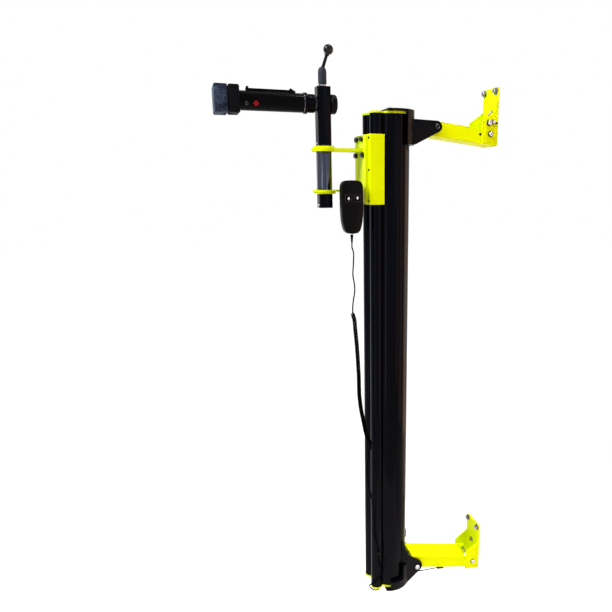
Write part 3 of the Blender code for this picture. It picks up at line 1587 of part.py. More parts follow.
def make_handset():
    """The handset: two shells, two keys and the hook that hangs it on the lower fork."""
    front = prism("handset_front", [handset_outline()], "Y", -HANDSET_NEAR, -HANDSET_SPLIT - GAP / 2)
    round_rim(front, 1, HANDSET_EDGE)
    back = prism("handset_back", [handset_outline()], "Y", -HANDSET_SPLIT + GAP / 2, -HANDSET_BACK)
    round_rim(back, -1, HANDSET_EDGE)
    inner = handset_outline(HANDSET_WALL)
    cut(
        front,
        prism("front_hollow", [inner], "Y", -HANDSET_NEAR + HANDSET_WALL + 0.002, -HANDSET_SPLIT + 0.01),
    )
    cut(
        back,
        prism("back_hollow", [inner], "Y", -HANDSET_SPLIT - 0.01, -HANDSET_BACK - HANDSET_WALL - 0.002),
    )
    keys = []
    z = HANDSET_TOP - KEY_DROP
    half = KEY_WIDTH / 2
    for label, side in (("up_key", -1), ("down_key", 1)):
        x = HANDSET_X + side * KEY_SPREAD
        hole = rectangle(
            x - half - GAP, x + half + GAP, z - half - GAP, z + half + GAP, KEY_CORNER, 3
        )
        cut(front, prism(f"{label}_hole", [hole], "Y", -HANDSET_NEAR - 0.01, -HANDSET_SPLIT - 0.001))
        shape = rectangle(x - half, x + half, z - half, z + half, KEY_CORNER, 3)
        key_front = -HANDSET_NEAR - KEY_PROUD
        key = prism(label, [shape], "Y", key_front, key_front + KEY_PROUD + KEY_DEPTH)
        finish(key, "black_rubber")
        keys.append(key)
    finish(front, "black_plastic")
    finish(back, "black_plastic")
    hook_back = -HANDSET_BACK + GAP
    arm_low = LOWER_FORK_HIGH + GAP
    hook = box(
        "handset_hook",
        (HANDSET_X - HOOK_WIDTH / 2, hook_back, arm_low + HOOK_SHEET - HOOK_LENGTH),
        (HANDSET_X + HOOK_WIDTH / 2, hook_back + HOOK_SHEET, arm_low + HOOK_SHEET),
    )
    (prong_low, prong_high) = prong_box(0)
    arm = box(
        "hook_arm",
        (HANDSET_X - HOOK_WIDTH / 2, hook_back + HOOK_SHEET / 2, arm_low),
        (HANDSET_X + HOOK_WIDTH / 2, prong_high[1], arm_low + HOOK_SHEET),
    )
    join(hook, arm, box("hook_prong", prong_low, (prong_high[0], prong_high[1], arm_low + HOOK_SHEET / 2)))
    finish(hook, "zinc")
    relief = turned(
        "strain_relief",
        [
            (0, HANDSET_BOTTOM - GAP),
            (RELIEF_TOP, HANDSET_BOTTOM - GAP),
            (RELIEF_TIP, HANDSET_BOTTOM - GAP - RELIEF_LENGTH),
            (0, HANDSET_BOTTOM - GAP - RELIEF_LENGTH),
        ],
        (HANDSET_X, -HANDSET_SPLIT, 0),
        (0, 0, 1),
        16,
    )
    finish(relief, "black_rubber")
    return [front, back, hook, relief], keys


def curl_points():
    """The curly cord: a helix along its route, which closes to the route's line at both ends."""
    path = smooth_path(CURLY_ROUTE, 0.002)
    frames = frames_along(path)
    count = CURL_COUNT * POINTS_PER_CURL
    points = [path[0], path[0] + frames[0][0] * 2 * CORD_RADIUS]
    length = len(path) - 1
    first, last = 2, length - 2
    for i in range(count + 1):
        place = first + (last - first) * i / count
        index = min(int(place), length - 1)
        share = place - index
        middle = path[index].lerp(path[index + 1], share)
        tangent, side, other = frames[index]
        turns = i / POINTS_PER_CURL
        open_share = min(1.0, turns / 1.2, (CURL_COUNT - turns) / 1.2)
        radius = CURL_RADIUS * open_share * open_share * (3 - 2 * open_share)
        angle = 2 * math.pi * turns
        points.append(middle + (side * math.cos(angle) + other * math.sin(angle)) * radius)
    points += [path[-1] - frames[-1][0] * 2 * CORD_RADIUS, path[-1]]
    return points


def least_gap(points, radius, skip):
    """The least gap between a tube's turns, measured on points along its middle."""
    fine = []
    for p, q in zip(points, points[1:]):
        fine += [p.lerp(q, share) for share in (0, 0.25, 0.5, 0.75)]
    table = np.array([tuple(point) for point in fine])
    away = np.linalg.norm(table[:, None, :] - table[None, :, :], axis=2)
    rank = np.arange(len(table))
    away[np.abs(rank[:, None] - rank[None, :]) < skip * 4] = 1.0
    return away.min() - 2 * radius


def make_cord():
    """The handset's cord, in a straight lead, a curly stretch and a lead down to the base."""
    lead = tube_curve("handset_lead", smooth_path(HANDSET_ROUTE, LEAD_STEP), CORD_RADIUS, 2)
    finish(lead, "black_rubber")
    curls = curl_points()
    gap = least_gap(curls, CORD_RADIUS, POINTS_PER_CURL * 3 // 4)
    print(f"curly cord: least gap between curls {gap * 1000:.2f} mm")
    curly = tube_curve("curly_cord", curls, CORD_RADIUS, 1)
    finish(curly, "black_rubber")
    base_path = smooth_path(BASE_ROUTE, LEAD_STEP)
    gland_low = BOTTOM_PLATE_LOW - GAP - GLAND_LENGTH
    last = base_path[-1]
    base_path.append(Vector((last.x, last.y, gland_low - GAP)))
    base = tube_curve("base_lead", base_path, CORD_RADIUS, 2)
    finish(base, "black_rubber")
    cord_x, cord_y, clip_z = CLIP_PLACE
    clip = box(
        "cord_clip",
        (cord_x - CLIP_WIDTH / 2, cord_y - CLIP_DEPTH / 2, clip_z - CLIP_LENGTH / 2),
        (cord_x + CLIP_WIDTH / 2, -RAIL_SPREAD - RAIL_RADIUS / 2, clip_z + CLIP_LENGTH / 2),
    )
    round_edges(clip, 0.001, 1)
    cut(
        clip,
        cylinder(
            "clip_rail",
            RAIL_RADIUS + GAP,
            (RAIL_X, -RAIL_SPREAD, clip_z - 0.02),
            (RAIL_X, -RAIL_SPREAD, clip_z + 0.02),
            RAIL_SIDES,
        ),
        cylinder(
            "clip_bore",
            CORD_RADIUS + GAP,
            (cord_x, cord_y, clip_z - 0.02),
            (cord_x, cord_y, clip_z + 0.02),
            12,
        ),
    )
    finish(clip, "black_plastic")
    gland = cylinder(
        "cord_gland",
        GLAND_RADIUS,
        (last.x, last.y, BOTTOM_PLATE_LOW - GAP),
        (last.x, last.y, gland_low),
        20,
    )
    finish(gland, "black_rubber")


def make_supply_lead():
    """The supply lead from the holder's back, with its in-line connector under the arm."""
    path = smooth_path(SUPPLY_ROUTE, 0.008)
    guide = tube_curve("supply_lead_path", path, SUPPLY_RADIUS, 2)
    lead = add_object("supply_lead", mesh_of(guide))
    end = Vector(SUPPLY_ROUTE[-1])
    along = (end - Vector(SUPPLY_ROUTE[-2])).normalized()
    connector = turned(
        "supply_connector",
        [
            (0, CONNECTOR_LENGTH),
            (CONNECTOR_RADIUS * 0.8, CONNECTOR_LENGTH),
            (CONNECTOR_RADIUS, CONNECTOR_LENGTH - 0.002),
            (CONNECTOR_RADIUS, 0.004),
            (SUPPLY_RADIUS * 1.2, 0),
            (0, 0),
        ],
        end - along * 0.001,
        along,
        16,
    )
    join(lead, connector)
    finish(lead, "black_rubber")


def main():
    clear_scene()
    make_column()
    make_holders()
    make_wall_side()
    screw = make_drive()
    carriage_pieces = make_carriage() + make_mast_bracket()
    handset, keys = make_handset()
    mast = make_mast()
    lever = make_lever()
    clamp, ring, knob, outer_jaw, button = make_clamp()
    make_cord()
    make_supply_lead()

    hoist = empty("hoist", (0, 0, 0))
    screw_axis = empty("screw_axis", (COLUMN_X, 0, COLUMN_BOTTOM), hoist)
    carriage = empty("carriage_slide", (COLUMN_X, 0, CARRIAGE_BOTTOM), hoist)
    mast_axis = empty("mast_axis", (MAST_X, 0, POST_BOTTOM), carriage)
    lever_axis = empty("lever_axis", (MAST_X, 0, POST_TOP), mast_axis)
    clamp_axis = empty("clamp_axis", (MAST_X, 0, CLAMP_Z), mast_axis)
    carry(screw_axis, screw)
    carry(carriage, *carriage_pieces, *handset, *keys)
    carry(mast_axis, *mast)
    carry(lever_axis, *lever)
    carry(clamp_axis, *clamp, ring, knob, outer_jaw, button)


main()
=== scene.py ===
"""Wall-mounted electric bike hoist: finished pieces, finishes, light and camera."""

import json
import math

import bpy
import numpy as np
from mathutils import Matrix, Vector


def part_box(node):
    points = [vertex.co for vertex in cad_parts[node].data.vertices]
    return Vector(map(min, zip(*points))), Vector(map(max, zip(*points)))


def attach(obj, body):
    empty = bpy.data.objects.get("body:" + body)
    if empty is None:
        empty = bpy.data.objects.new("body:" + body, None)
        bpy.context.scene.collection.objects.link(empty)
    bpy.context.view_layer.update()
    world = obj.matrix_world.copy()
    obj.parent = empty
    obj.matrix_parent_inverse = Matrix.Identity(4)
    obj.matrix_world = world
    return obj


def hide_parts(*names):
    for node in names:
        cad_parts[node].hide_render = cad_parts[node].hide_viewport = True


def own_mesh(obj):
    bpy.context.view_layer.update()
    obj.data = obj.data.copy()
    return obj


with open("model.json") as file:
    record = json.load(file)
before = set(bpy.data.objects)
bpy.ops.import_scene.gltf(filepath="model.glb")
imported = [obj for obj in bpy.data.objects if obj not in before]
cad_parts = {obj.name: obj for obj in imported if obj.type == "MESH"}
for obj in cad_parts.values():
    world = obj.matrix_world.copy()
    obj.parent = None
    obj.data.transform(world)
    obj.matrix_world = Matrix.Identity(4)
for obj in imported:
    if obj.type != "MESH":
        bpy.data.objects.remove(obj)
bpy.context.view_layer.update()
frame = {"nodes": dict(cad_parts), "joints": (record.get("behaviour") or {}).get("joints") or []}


# Camera at the photograph's place, in metres, degrees and pixels
IMAGE_WIDTH = 612
FOCAL_PIXELS = 553
SHIFT_PIXELS = -74
CAMERA_PLACE = (-0.818, -1.404, 1.185)
CAMERA_TILT = -12.74
CAMERA_TURN = -19.4


def add_camera():
    """The scene's camera."""
    data = bpy.data.cameras.new("camera")
    data.sensor_width = 36
    data.lens = FOCAL_PIXELS / IMAGE_WIDTH * data.sensor_width
    data.shift_x = SHIFT_PIXELS / IMAGE_WIDTH
    camera = bpy.data.objects.new("camera", data)
    bpy.context.scene.collection.objects.link(camera)
    camera.location = CAMERA_PLACE
    camera.rotation_euler = (math.radians(90 + CAMERA_TILT), 0, math.radians(CAMERA_TURN))
    bpy.context.scene.camera = camera


add_camera()


def low_of(node):
    """The lowest corner of a CAD node's box."""
    return Vector(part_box(node)[0])


def high_of(node):
    """The highest corner of a CAD node's box."""
    return Vector(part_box(node)[1])


def middle_of(node, **given):
    """The middle of a CAD node's box, with any coordinate that is given instead."""
    place = (low_of(node) + high_of(node)) / 2
    for axis, value in given.items():
        setattr(place, axis, value)
    return place


# Directions: away from the wall, towards the photograph's side, to the far side, and up
OUTWARD = (-1, 0, 0)
NEAR = (0, -1, 0)
FAR = (0, 1, 0)
UP = (0, 0, 1)

# Places of the CAD, in metres
WALL_PLATE_FRONT = -0.005
FLANGE_FACE = high_of("upper_wall_bracket").y
MAST_X = middle_of("mast_post").x
POST_TOP = high_of("mast_post").z
SPINDLE_TOP = high_of("upper_bush").z + 0.0003
CLAMP_Z = middle_of("clamp_tube").z
TUBE_RADIUS = high_of("clamp_tube").y
HANDSET_FACE = low_of("handset_front").y

# Handset cord: its parts' routes, top to bottom
CORD_RADIUS = 0.0018
CORD_STEP = 0.004
CORD_SIDES = 10
CURL_RADIUS = 0.0042
CURL_COUNT = 94
POINTS_PER_CURL = 14
HANDSET_ROUTE = [
    (-0.4160, -0.0465, 1.0264),
    (-0.4158, -0.0465, 1.0180),
    (-0.4120, -0.0470, 1.0030),
    (-0.4135, -0.0478, 0.9700),
    (-0.4150, -0.0488, 0.9480),
    (-0.4115, -0.0498, 0.9230),
    (-0.4110, -0.0500, 0.9050),
    (-0.4150, -0.0502, 0.8800),
    (-0.4172, -0.0508, 0.8620),
    (-0.4172, -0.0509, 0.8535),
]
CURLY_ROUTE = [
    (-0.4172, -0.0510, 0.8532),
    (-0.4172, -0.0511, 0.8430),
    (-0.4130, -0.0514, 0.8280),
    (-0.4110, -0.0518, 0.8000),
    (-0.4085, -0.0522, 0.7720),
    (-0.4060, -0.0526, 0.7360),
    (-0.4045, -0.0530, 0.7040),
    (-0.4030, -0.0534, 0.6680),
    (-0.4025, -0.0538, 0.6280),
    (-0.4010, -0.0540, 0.6040),
    (-0.3970, -0.0540, 0.5720),
    (-0.3905, -0.0540, 0.5380),
    (-0.3840, -0.0540, 0.5040),
    (-0.3760, -0.0542, 0.4810),
    (-0.3715, -0.0544, 0.4710),
    (-0.3700, -0.0544, 0.4620),
]
COLUMN_ROUTE = [
    (-0.3700, -0.0544, 0.4617),
    (-0.3701, -0.0543, 0.4550),
    (-0.3745, -0.0535, 0.4400),
    (-0.3795, -0.0528, 0.4110),
    (-0.3800, -0.0520, 0.3850),
    (-0.3770, -0.0510, 0.3560),
    (-0.3710, -0.0505, 0.3200),
    (-0.3650, -0.0500, 0.2900),
    (-0.3605, -0.0498, 0.2600),
    (-0.3590, -0.0495, 0.2250),
    (-0.3595, -0.0490, 0.1820),
    (-0.3520, -0.0488, 0.1480),
    (-0.3440, -0.0488, 0.1260),
]
BASE_ROUTE = [
    (-0.3440, -0.0488, 0.1260),
    (-0.3440, -0.0488, 0.1100),
    (-0.3440, -0.0488, 0.0940),
    (-0.3405, -0.0490, 0.0760),
    (-0.3370, -0.0495, 0.0530),
    (-0.3400, -0.0500, 0.0320),
    (-0.3510, -0.0495, 0.0160),
    (-0.3630, -0.0425, 0.0060),
    (-0.3685, -0.0330, -0.0040),
    (-0.3655, -0.0275, -0.0170),
    (-0.3575, -0.0265, -0.0270),
    (-0.3480, -0.0270, -0.0325),
    (-0.3390, -0.0280, -0.0325),
    (-0.3350, -0.0285, -0.0290),
    (-0.3345, -0.0285, -0.0250),
]
CLIP_TOP = COLUMN_ROUTE[-1]
GLAND_LOW = low_of("cord_gland").z - 0.0003

# Supply lead, from the column to its connector
SUPPLY_ROUTE = [
    (-0.2420, -0.0200, -0.0030),
    (-0.2300, -0.0200, -0.0034),
    (-0.2150, -0.0206, -0.0058),
    (-0.1980, -0.0222, -0.0075),
    (-0.1810, -0.0242, -0.0076),
    (-0.1640, -0.0262, -0.0067),
    (-0.1520, -0.0273, -0.0065),
    (-0.1430, -0.0275, -0.0077),
]
SUPPLY_RADIUS = 0.0016
CONNECTOR_RADIUS = 0.0036
CONNECTOR_LENGTH = 0.024


class Signal:
    """A shader socket that arithmetic can be written with."""

    def __init__(self, nodes, socket):
        self.nodes = nodes
        self.socket = socket

    def _with(self, operation, other):
        return self.nodes.node("ShaderNodeMath", {"operation": operation}, {0: self, 1: other})["Value"]

    def __add__(self, other):
        return self._with("ADD", other)

    def __sub__(self, other):
        return self._with("SUBTRACT", other)

    def __mul__(self, other):
        return self._with("MULTIPLY", other)

    def at_least(self, other):
        return self._with("MAXIMUM", other)


class Nodes:
    """A shader's nodes, all made by one method."""

    def __init__(self, tree):
        self.tree = tree

    def feed(self, socket, value):
        """Gives a socket a signal, a colour or a plain value."""
        if isinstance(value, Signal):
            self.tree.links.new(value.socket, socket)
        elif socket.type == "RGBA":
            socket.default_value = (*value, 1.0)
        else:
            socket.default_value = value

    def node(self, kind, settings=None, inputs=None):
        """A node by type, with its settings and then its sockets."""
        node = self.tree.nodes.new(kind)
        for name, value in (settings or {}).items():
            if name == "stops":
                self._set_stops(node.color_ramp, value)
            else:
                setattr(node, name, value)
        for name, value in (inputs or {}).items():
            self.feed(node.inputs[name], value)
        return {socket.name: Signal(self, socket) for socket in node.outputs if socket.enabled}

    @staticmethod
    def _set_stops(ramp, stops):
        for element, (place, shade) in zip(ramp.elements, stops):
            element.position = place
            element.color = (shade, shade, shade, 1)

    def seen(self):
        """One for rays of the camera, of a gloss or through a clear piece, and zero for the others."""
        rays = self.node("ShaderNodeLightPath")
        return rays["Is Camera Ray"].at_least(rays["Is Glossy Ray"]).at_least(rays["Is Transmission Ray"])


class Finish(Nodes):
    """A material for one finish."""

    INPUTS = {
        "colour": "Base Color",
        "roughness": "Roughness",
        "metallic": "Metallic",
        "specular": "Specular IOR Level",
        "normal": "Normal",
        "glow_colour": "Emission Color",
        "glow": "Emission Strength",
    }

    def __init__(self, name):
        self.material = bpy.data.materials.new(name)
        self.material.use_nodes = True
        super().__init__(self.material.node_tree)
        self.shader = self.tree.nodes["Principled BSDF"]
        self.place = self.node("ShaderNodeTexCoord")["Object"]

    def noise(self, scale, detail=3.0, roughness=0.55, stretch=(1, 1, 1)):
        """Noise from 0 to 1, with its scale in cells a metre."""
        place = self.place
        if stretch != (1, 1, 1):
            place = self.node("ShaderNodeVectorMath", {"operation": "MULTIPLY"}, {0: place, 1: stretch})
            place = place["Vector"]
        inputs = {"Vector": place, "Scale": scale, "Detail": detail, "Roughness": roughness}
        return self.node("ShaderNodeTexNoise", None, inputs)["Fac"]

    def cells(self, scale):
        """The distance to scattered points, with its scale in cells a metre."""
        return self.node("ShaderNodeTexVoronoi", None, {"Vector": self.place, "Scale": scale})["Distance"]

    def spread(self, signal, low, high):
        """A signal's values from low to high, both within 0 to 1, opened out to 0 to 1."""
        stops = [(low, 0.0), (high, 1.0)]
        return self.node("ShaderNodeValToRGB", {"stops": stops}, {"Fac": signal})["Color"]

    def blend(self, share, first, second):
        """A colour between two colours."""
        inputs = {"Factor": share, 6: first, 7: second}
        return self.node("ShaderNodeMix", {"data_type": "RGBA"}, inputs)["Result"]

    def bump(self, height, strength, distance, under=None):
        """A normal that follows a height, on top of another normal where one is given."""
        inputs = {"Height": height, "Strength": strength, "Distance": distance}
        if under is not None:
            inputs["Normal"] = under
        return self.node("ShaderNodeBump", None, inputs)["Normal"]

    def set(self, **values):
        """Sets the shader's inputs by their plain names."""
        for name, value in values.items():
            self.feed(self.shader.inputs[self.INPUTS[name]], value)


def lightened(tint, times):
    """A tint's lighter shade, for marks and wear."""
    return tuple(min(1.0, part * times + 0.004) for part in tint)


def make_yellow():
    """Signal yellow powder coat: orange peel, slight mottling and faint handling marks."""
    finish = Finish("signal_yellow_powder_coat")
    broad = finish.noise(9, 4)
    peel = finish.noise(520, 2, 0.5)
    fine = finish.noise(1900, 2, 0.5)
    rub = finish.spread(finish.noise(60, 6, 0.7, (1, 1, 0.25)), 0.60, 0.72)
    colour = finish.blend(finish.spread(broad, 0.3, 0.7), (0.700, 0.815, 0.0), (0.745, 0.855, 0.0))
    colour = finish.blend(rub * 0.10, colour, (0.55, 0.56, 0.03))
    finish.set(colour=colour, roughness=peel * 0.10 + rub * 0.10 + 0.32, specular=0.02)
    normal = finish.bump(peel, 0.10, 0.0006)
    finish.set(normal=finish.bump(fine, 0.06, 0.0002, normal))
    return finish.material


def make_anodised():
    """Black anodised extrusion with fine lines along its length."""
    finish = Finish("black_anodised_extrusion")
    lines = finish.noise(900, 3, 0.6, (1, 1, 0.004))
    broad = finish.spread(finish.noise(14, 3, 0.5, (1, 1, 0.15)), 0.3, 0.7)
    scuff = finish.spread(finish.noise(45, 8, 0.75, (1, 1, 0.3)), 0.62, 0.76)
    colour = finish.blend(broad, (0.0005, 0.0005, 0.0014), (0.0010, 0.0012, 0.0036))
    colour = finish.blend(scuff * 0.08, colour, (0.03, 0.03, 0.036))
    finish.set(colour=colour, roughness=lines * 0.06 + scuff * 0.10 + 0.05, specular=0.035)
    finish.set(normal=finish.bump(lines, 0.12, 0.0002))
    return finish.material


def make_casting():
    """Black coated casting: sandy grain over soft waves, with a little dust."""
    finish = Finish("black_coated_casting")
    grain = finish.noise(1100, 3, 0.6)
    wave = finish.noise(90, 3, 0.5)
    dust = finish.spread(finish.noise(35, 6, 0.7), 0.55, 0.75)
    colour = finish.blend(dust * 0.18, (0.0008, 0.0008, 0.0016), (0.009, 0.008, 0.009))
    finish.set(colour=colour, roughness=grain * 0.15 + dust * 0.10 + 0.24, specular=0.05)
    normal = finish.bump(wave, 0.10, 0.002)
    finish.set(normal=finish.bump(grain, 0.22, 0.0004, normal))
    return finish.material


def steel_coat(finish, tint):
    """The orange peel, faint marks and colour of a coat on steel."""
    peel = finish.noise(480, 3, 0.5)
    mark = finish.spread(finish.noise(70, 8, 0.75, (1, 1, 0.3)), 0.60, 0.74)
    return peel, mark, finish.blend(mark * 0.30, tint, lightened(tint, 2.5))


def make_steel(name, tint, base, grain=0.08):
    """Black coated steel, half gloss, with faint marks."""
    finish = Finish(name)
    peel, mark, colour = steel_coat(finish, tint)
    finish.set(colour=colour, roughness=peel * 0.10 + mark * 0.14 + base, specular=0.04)
    finish.set(normal=finish.bump(peel, grain, 0.0005))
    return finish.material


def make_mast(tint):
    """Black coated square post that ends in a polished round spindle."""
    finish = Finish("coated_mast_post")
    peel, mark, coated = steel_coat(finish, tint)
    height = finish.node("ShaderNodeSeparateXYZ", None, {0: finish.place})["Z"]
    start, fade = 0.5, 0.0004
    coat_share = finish.spread(height - SPINDLE_TOP + start, start, start + fade)
    bare = coat_share * -1 + 1
    polished = finish.blend(mark, (0.050, 0.055, 0.070), (0.110, 0.114, 0.124))
    finish.set(colour=finish.blend(coat_share, polished, coated), metallic=bare, specular=0.04)
    finish.set(roughness=peel * 0.10 + mark * 0.14 + 0.10 - bare * 0.02)
    finish.set(normal=finish.bump(peel * coat_share, 0.08, 0.0005))
    return finish.material


def make_jaw(name, dark, light, worn):
    """Textured grip cover, worn lighter where it has been handled."""
    finish = Finish(name)
    grit = finish.noise(620, 4, 0.7)
    pits = finish.cells(520)
    wear = finish.spread(finish.noise(42, 4, 0.6), 0.30, 0.62)
    speck = finish.spread(grit, 0.42, 0.60)
    colour = finish.blend(wear * speck * worn, dark, light)
    finish.set(colour=colour, roughness=grit * 0.2 + 0.40, specular=0.04)
    normal = finish.bump(pits, 0.35, 0.0008)
    finish.set(normal=finish.bump(grit, 0.35, 0.0006, normal))
    return finish.material


def make_plastic(name, tint, base, spark=0.10, shine=0.2):
    """Moulded plastic with a spark-eroded grain."""
    finish = Finish(name)
    grain = finish.noise(2600, 2, 0.6)
    hand = finish.spread(finish.noise(55, 5, 0.65), 0.50, 0.75)
    colour = finish.blend(hand * 0.4, tint, lightened(tint, 1.7))
    finish.set(colour=colour, roughness=grain * 0.10 - hand * 0.06 + base, specular=shine)
    finish.set(normal=finish.bump(grain, spark, 0.00025))
    return finish.material


def make_rubber():
    """Matt rubber with a bloom on it."""
    finish = Finish("black_rubber")
    grain = finish.noise(1700, 3, 0.6)
    bloom = finish.spread(finish.noise(60, 5, 0.6), 0.45, 0.8)
    colour = finish.blend(bloom * 0.5, (0.0010, 0.0010, 0.0011), (0.0034, 0.0034, 0.0037))
    finish.set(colour=colour, roughness=grain * 0.12 + 0.60, specular=0.005)
    finish.set(normal=finish.bump(grain, 0.15, 0.0003))
    return finish.material


def make_metal(name, dark, light, base, stretch=(1, 1, 1)):
    """Bare or plated metal with tool marks and blotches."""
    finish = Finish(name)
    marks = finish.noise(300, 4, 0.65, stretch)
    blotch = finish.spread(finish.noise(120, 4, 0.6), 0.35, 0.70)
    colour = finish.blend(blotch, dark, light)
    finish.set(colour=colour, metallic=1.0, roughness=marks * 0.18 + base)
    finish.set(normal=finish.bump(marks, 0.10, 0.0002))
    return finish.material


def make_print():
    """White print on the keys, slightly worn."""
    finish = Finish("white_key_print")
    wear = finish.spread(finish.noise(1600, 4, 0.7), 0.50, 0.75)
    colour = finish.blend(wear * 0.5, (0.80, 0.80, 0.80), (0.35, 0.35, 0.35))
    finish.set(colour=colour, roughness=wear * 0.1 + 0.45)
    return finish.material


def make_oxide():
    """Black oxide on bolts, with bright rubbed spots."""
    finish = Finish("black_oxide")
    rub = finish.spread(finish.noise(420, 4, 0.6), 0.56, 0.70)
    colour = finish.blend(rub * 0.6, (0.011, 0.011, 0.013), (0.10, 0.10, 0.11))
    finish.set(colour=colour, metallic=0.7, roughness=rub * 0.1 + 0.26)
    finish.set(normal=finish.bump(rub, 0.08, 0.0002))
    return finish.material


MAST_TINT = (0.0007, 0.0009, 0.0026)
TURNED = (1, 1, 12)
YELLOW = make_yellow()
ANODISED = make_anodised()
CASTING = make_casting()
BLUE_BLACK = make_steel("blue_black_mast_coat", MAST_TINT, 0.10)
MAST_COAT = make_mast(MAST_TINT)
TUBE_BLACK = make_steel("brown_black_tube_coat", (0.0009, 0.0006, 0.0008), 0.12)
HUB_GREY = make_steel("dark_grey_hub", (0.0300, 0.0340, 0.0430), 0.30, 0.2)
JAW = make_jaw("worn_jaw_cover", (0.0040, 0.0055, 0.0110), (0.074, 0.102, 0.165), 1.0)
INNER_JAW = make_jaw("dark_jaw_cover", (0.0016, 0.0014, 0.0020), (0.012, 0.012, 0.015), 0.6)
PLASTIC = make_plastic("black_handset_plastic", (0.0016, 0.0013, 0.0012), 0.32, 0.10, 0.05)
GLOSS = make_plastic("black_ball_plastic", (0.0014, 0.0014, 0.0018), 0.07, 0.02, 0.22)
RED = make_plastic("red_button_plastic", (0.260, 0.0012, 0.0070), 0.14, 0.04, 0.10)
NYLON = make_plastic("nylon", (0.70, 0.68, 0.62), 0.45, 0.2, 0.5)
RUBBER = make_rubber()
BORDER = make_plastic("key_border_plastic", (0.030, 0.028, 0.026), 0.40)
DULL_ZINC = make_metal("dull_zinc_plate", (0.06, 0.05, 0.06), (0.42, 0.40, 0.44), 0.16)
ZINC = make_metal("zinc_plate", (0.34, 0.34, 0.37), (0.66, 0.66, 0.68), 0.20)
BRIGHT = make_metal("ground_steel", (0.50, 0.50, 0.52), (0.70, 0.70, 0.71), 0.12, TURNED)
BRONZE = make_metal("turned_bronze", (0.38, 0.24, 0.09), (0.55, 0.38, 0.17), 0.22, TURNED)
PRINT = make_print()
OXIDE = make_oxide()


def clear_selection():
    """Leaves edit mode and deselects everything."""
    if bpy.context.object and bpy.context.object.mode != "OBJECT":
        bpy.ops.object.mode_set(mode="OBJECT")
    bpy.ops.object.select_all(action="DESELECT")


def select_only(obj):
    """Selects and activates one object alone."""
    clear_selection()
    obj.select_set(True)
    bpy.context.view_layer.objects.active = obj


def open_all(obj):
    """Opens a piece in edit mode with all of it selected."""
    select_only(obj)
    bpy.ops.object.mode_set(mode="EDIT")
    bpy.ops.mesh.select_all(action="SELECT")


def pick(obj, kind, test):
    """Opens a piece in edit mode with the faces or edges selected that pass a test."""
    select_only(obj)
    bpy.ops.object.mode_set(mode="EDIT")
    bpy.ops.mesh.select_mode(type=kind)
    bpy.ops.mesh.select_all(action="DESELECT")
    bpy.ops.object.mode_set(mode="OBJECT")
    for part in obj.data.polygons if kind == "FACE" else obj.data.edges:
        part.select = bool(test(part))
    bpy.ops.object.mode_set(mode="EDIT")


def face_outward(obj):
    """Turns all faces of a piece outward."""
    open_all(obj)
    bpy.ops.mesh.normals_make_consistent(inside=False)
    bpy.ops.object.mode_set(mode="OBJECT")
    return obj


def fix_place(obj):
    """Puts an object's place, turn and size into its mesh."""
    select_only(obj)
    bpy.ops.object.transform_apply(location=True, rotation=True, scale=True)
    return obj


def settle_dressed(obj, name, material, body, replaced=()):
    """Names and finishes a piece, rides it on its body, and hides the CAD nodes that it stands for."""
    select_only(obj)
    obj.name = name
    obj.data.name = name
    obj.data.materials.clear()
    obj.data.materials.append(material)
    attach(obj, body)
    if replaced:
        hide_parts(*replaced)
    return obj


def settle(obj, name, material, body, replaced=(), angle=32):
    """Smooths a piece except at its sharp edges, then settles it."""
    fix_place(obj)
    bpy.ops.object.shade_smooth_by_angle(angle=math.radians(angle))
    return settle_dressed(obj, name, material, body, replaced)


def soften(obj, width, segments=2, angle=40):
    """Rounds the sharp edges and keeps the flats flat."""
    select_only(obj)
    bpy.ops.object.shade_smooth_by_angle(angle=math.radians(angle))
    bevel = obj.modifiers.new("soften", "BEVEL")
    bevel.width = width
    bevel.segments = segments
    bevel.limit_method = "ANGLE"
    bevel.angle_limit = math.radians(angle)
    bevel.harden_normals = True
    bpy.ops.object.modifier_apply(modifier=bevel.name)
    return obj


def merged_copy(node):
    """A CAD node's shape as clean faces, ready to be worked on."""
    obj = bpy.data.objects.new(f"{node}_finished", frame["nodes"][node].data.copy())
    bpy.context.scene.collection.objects.link(obj)
    obj.data.materials.clear()
    open_all(obj)
    bpy.ops.mesh.remove_doubles(threshold=0.00002)
    bpy.ops.mesh.dissolve_limited(angle_limit=math.radians(1.0))
    bpy.ops.object.mode_set(mode="OBJECT")
    return obj


def dress(node, material, body, width=0.0006, segments=2, angle=40):
    """Gives a CAD node rounded edges and its finish."""
    obj = soften(merged_copy(node), width, segments, angle)
    return settle_dressed(obj, f"{node}_finished", material, body, (node,))


def coat(node, material):
    """Finishes a CAD node whose own shape shows."""
    obj = frame["nodes"][node]
    obj.data.materials.clear()
    obj.data.materials.append(material)


def stand(obj, place, along):
    """Moves a piece made along Z to its place and direction."""
    obj.location = place
    obj.rotation_euler = Vector(along).to_track_quat("Z", "Y").to_euler()
    return fix_place(obj)


def disc(sides, radius, place):
    """A flat face with equal sides, ready to be shaped."""
    clear_selection()
    bpy.ops.mesh.primitive_circle_add(vertices=sides, radius=radius, fill_type="NGON", location=place)
    return fix_place(bpy.context.object)


def blank(profile, sides=64):
    """A turned blank along Z, from (radius, distance) pairs, extruded ring by ring."""
    radius, height = profile[0]
    obj = disc(sides, radius, (0, 0, height))
    open_all(obj)
    for next_radius, next_height in profile[1:]:
        bpy.ops.mesh.extrude_region_move(
            TRANSFORM_OT_translate={"value": (0, 0, next_height - height), "orient_type": "GLOBAL"}
        )
        share = next_radius / radius
        bpy.ops.transform.resize(value=(share, share, 1), center_override=(0, 0, next_height))
        radius, height = next_radius, next_height
    return face_outward(obj)


def plug(radius, start, end, sides=64):
    """A plain round bar along Z from start to end."""
    return blank([(radius, start), (radius, end)], sides)


def turn(profile, place, along, sides=64):
    """A turned piece at its place."""
    return stand(blank(profile, sides), place, along)


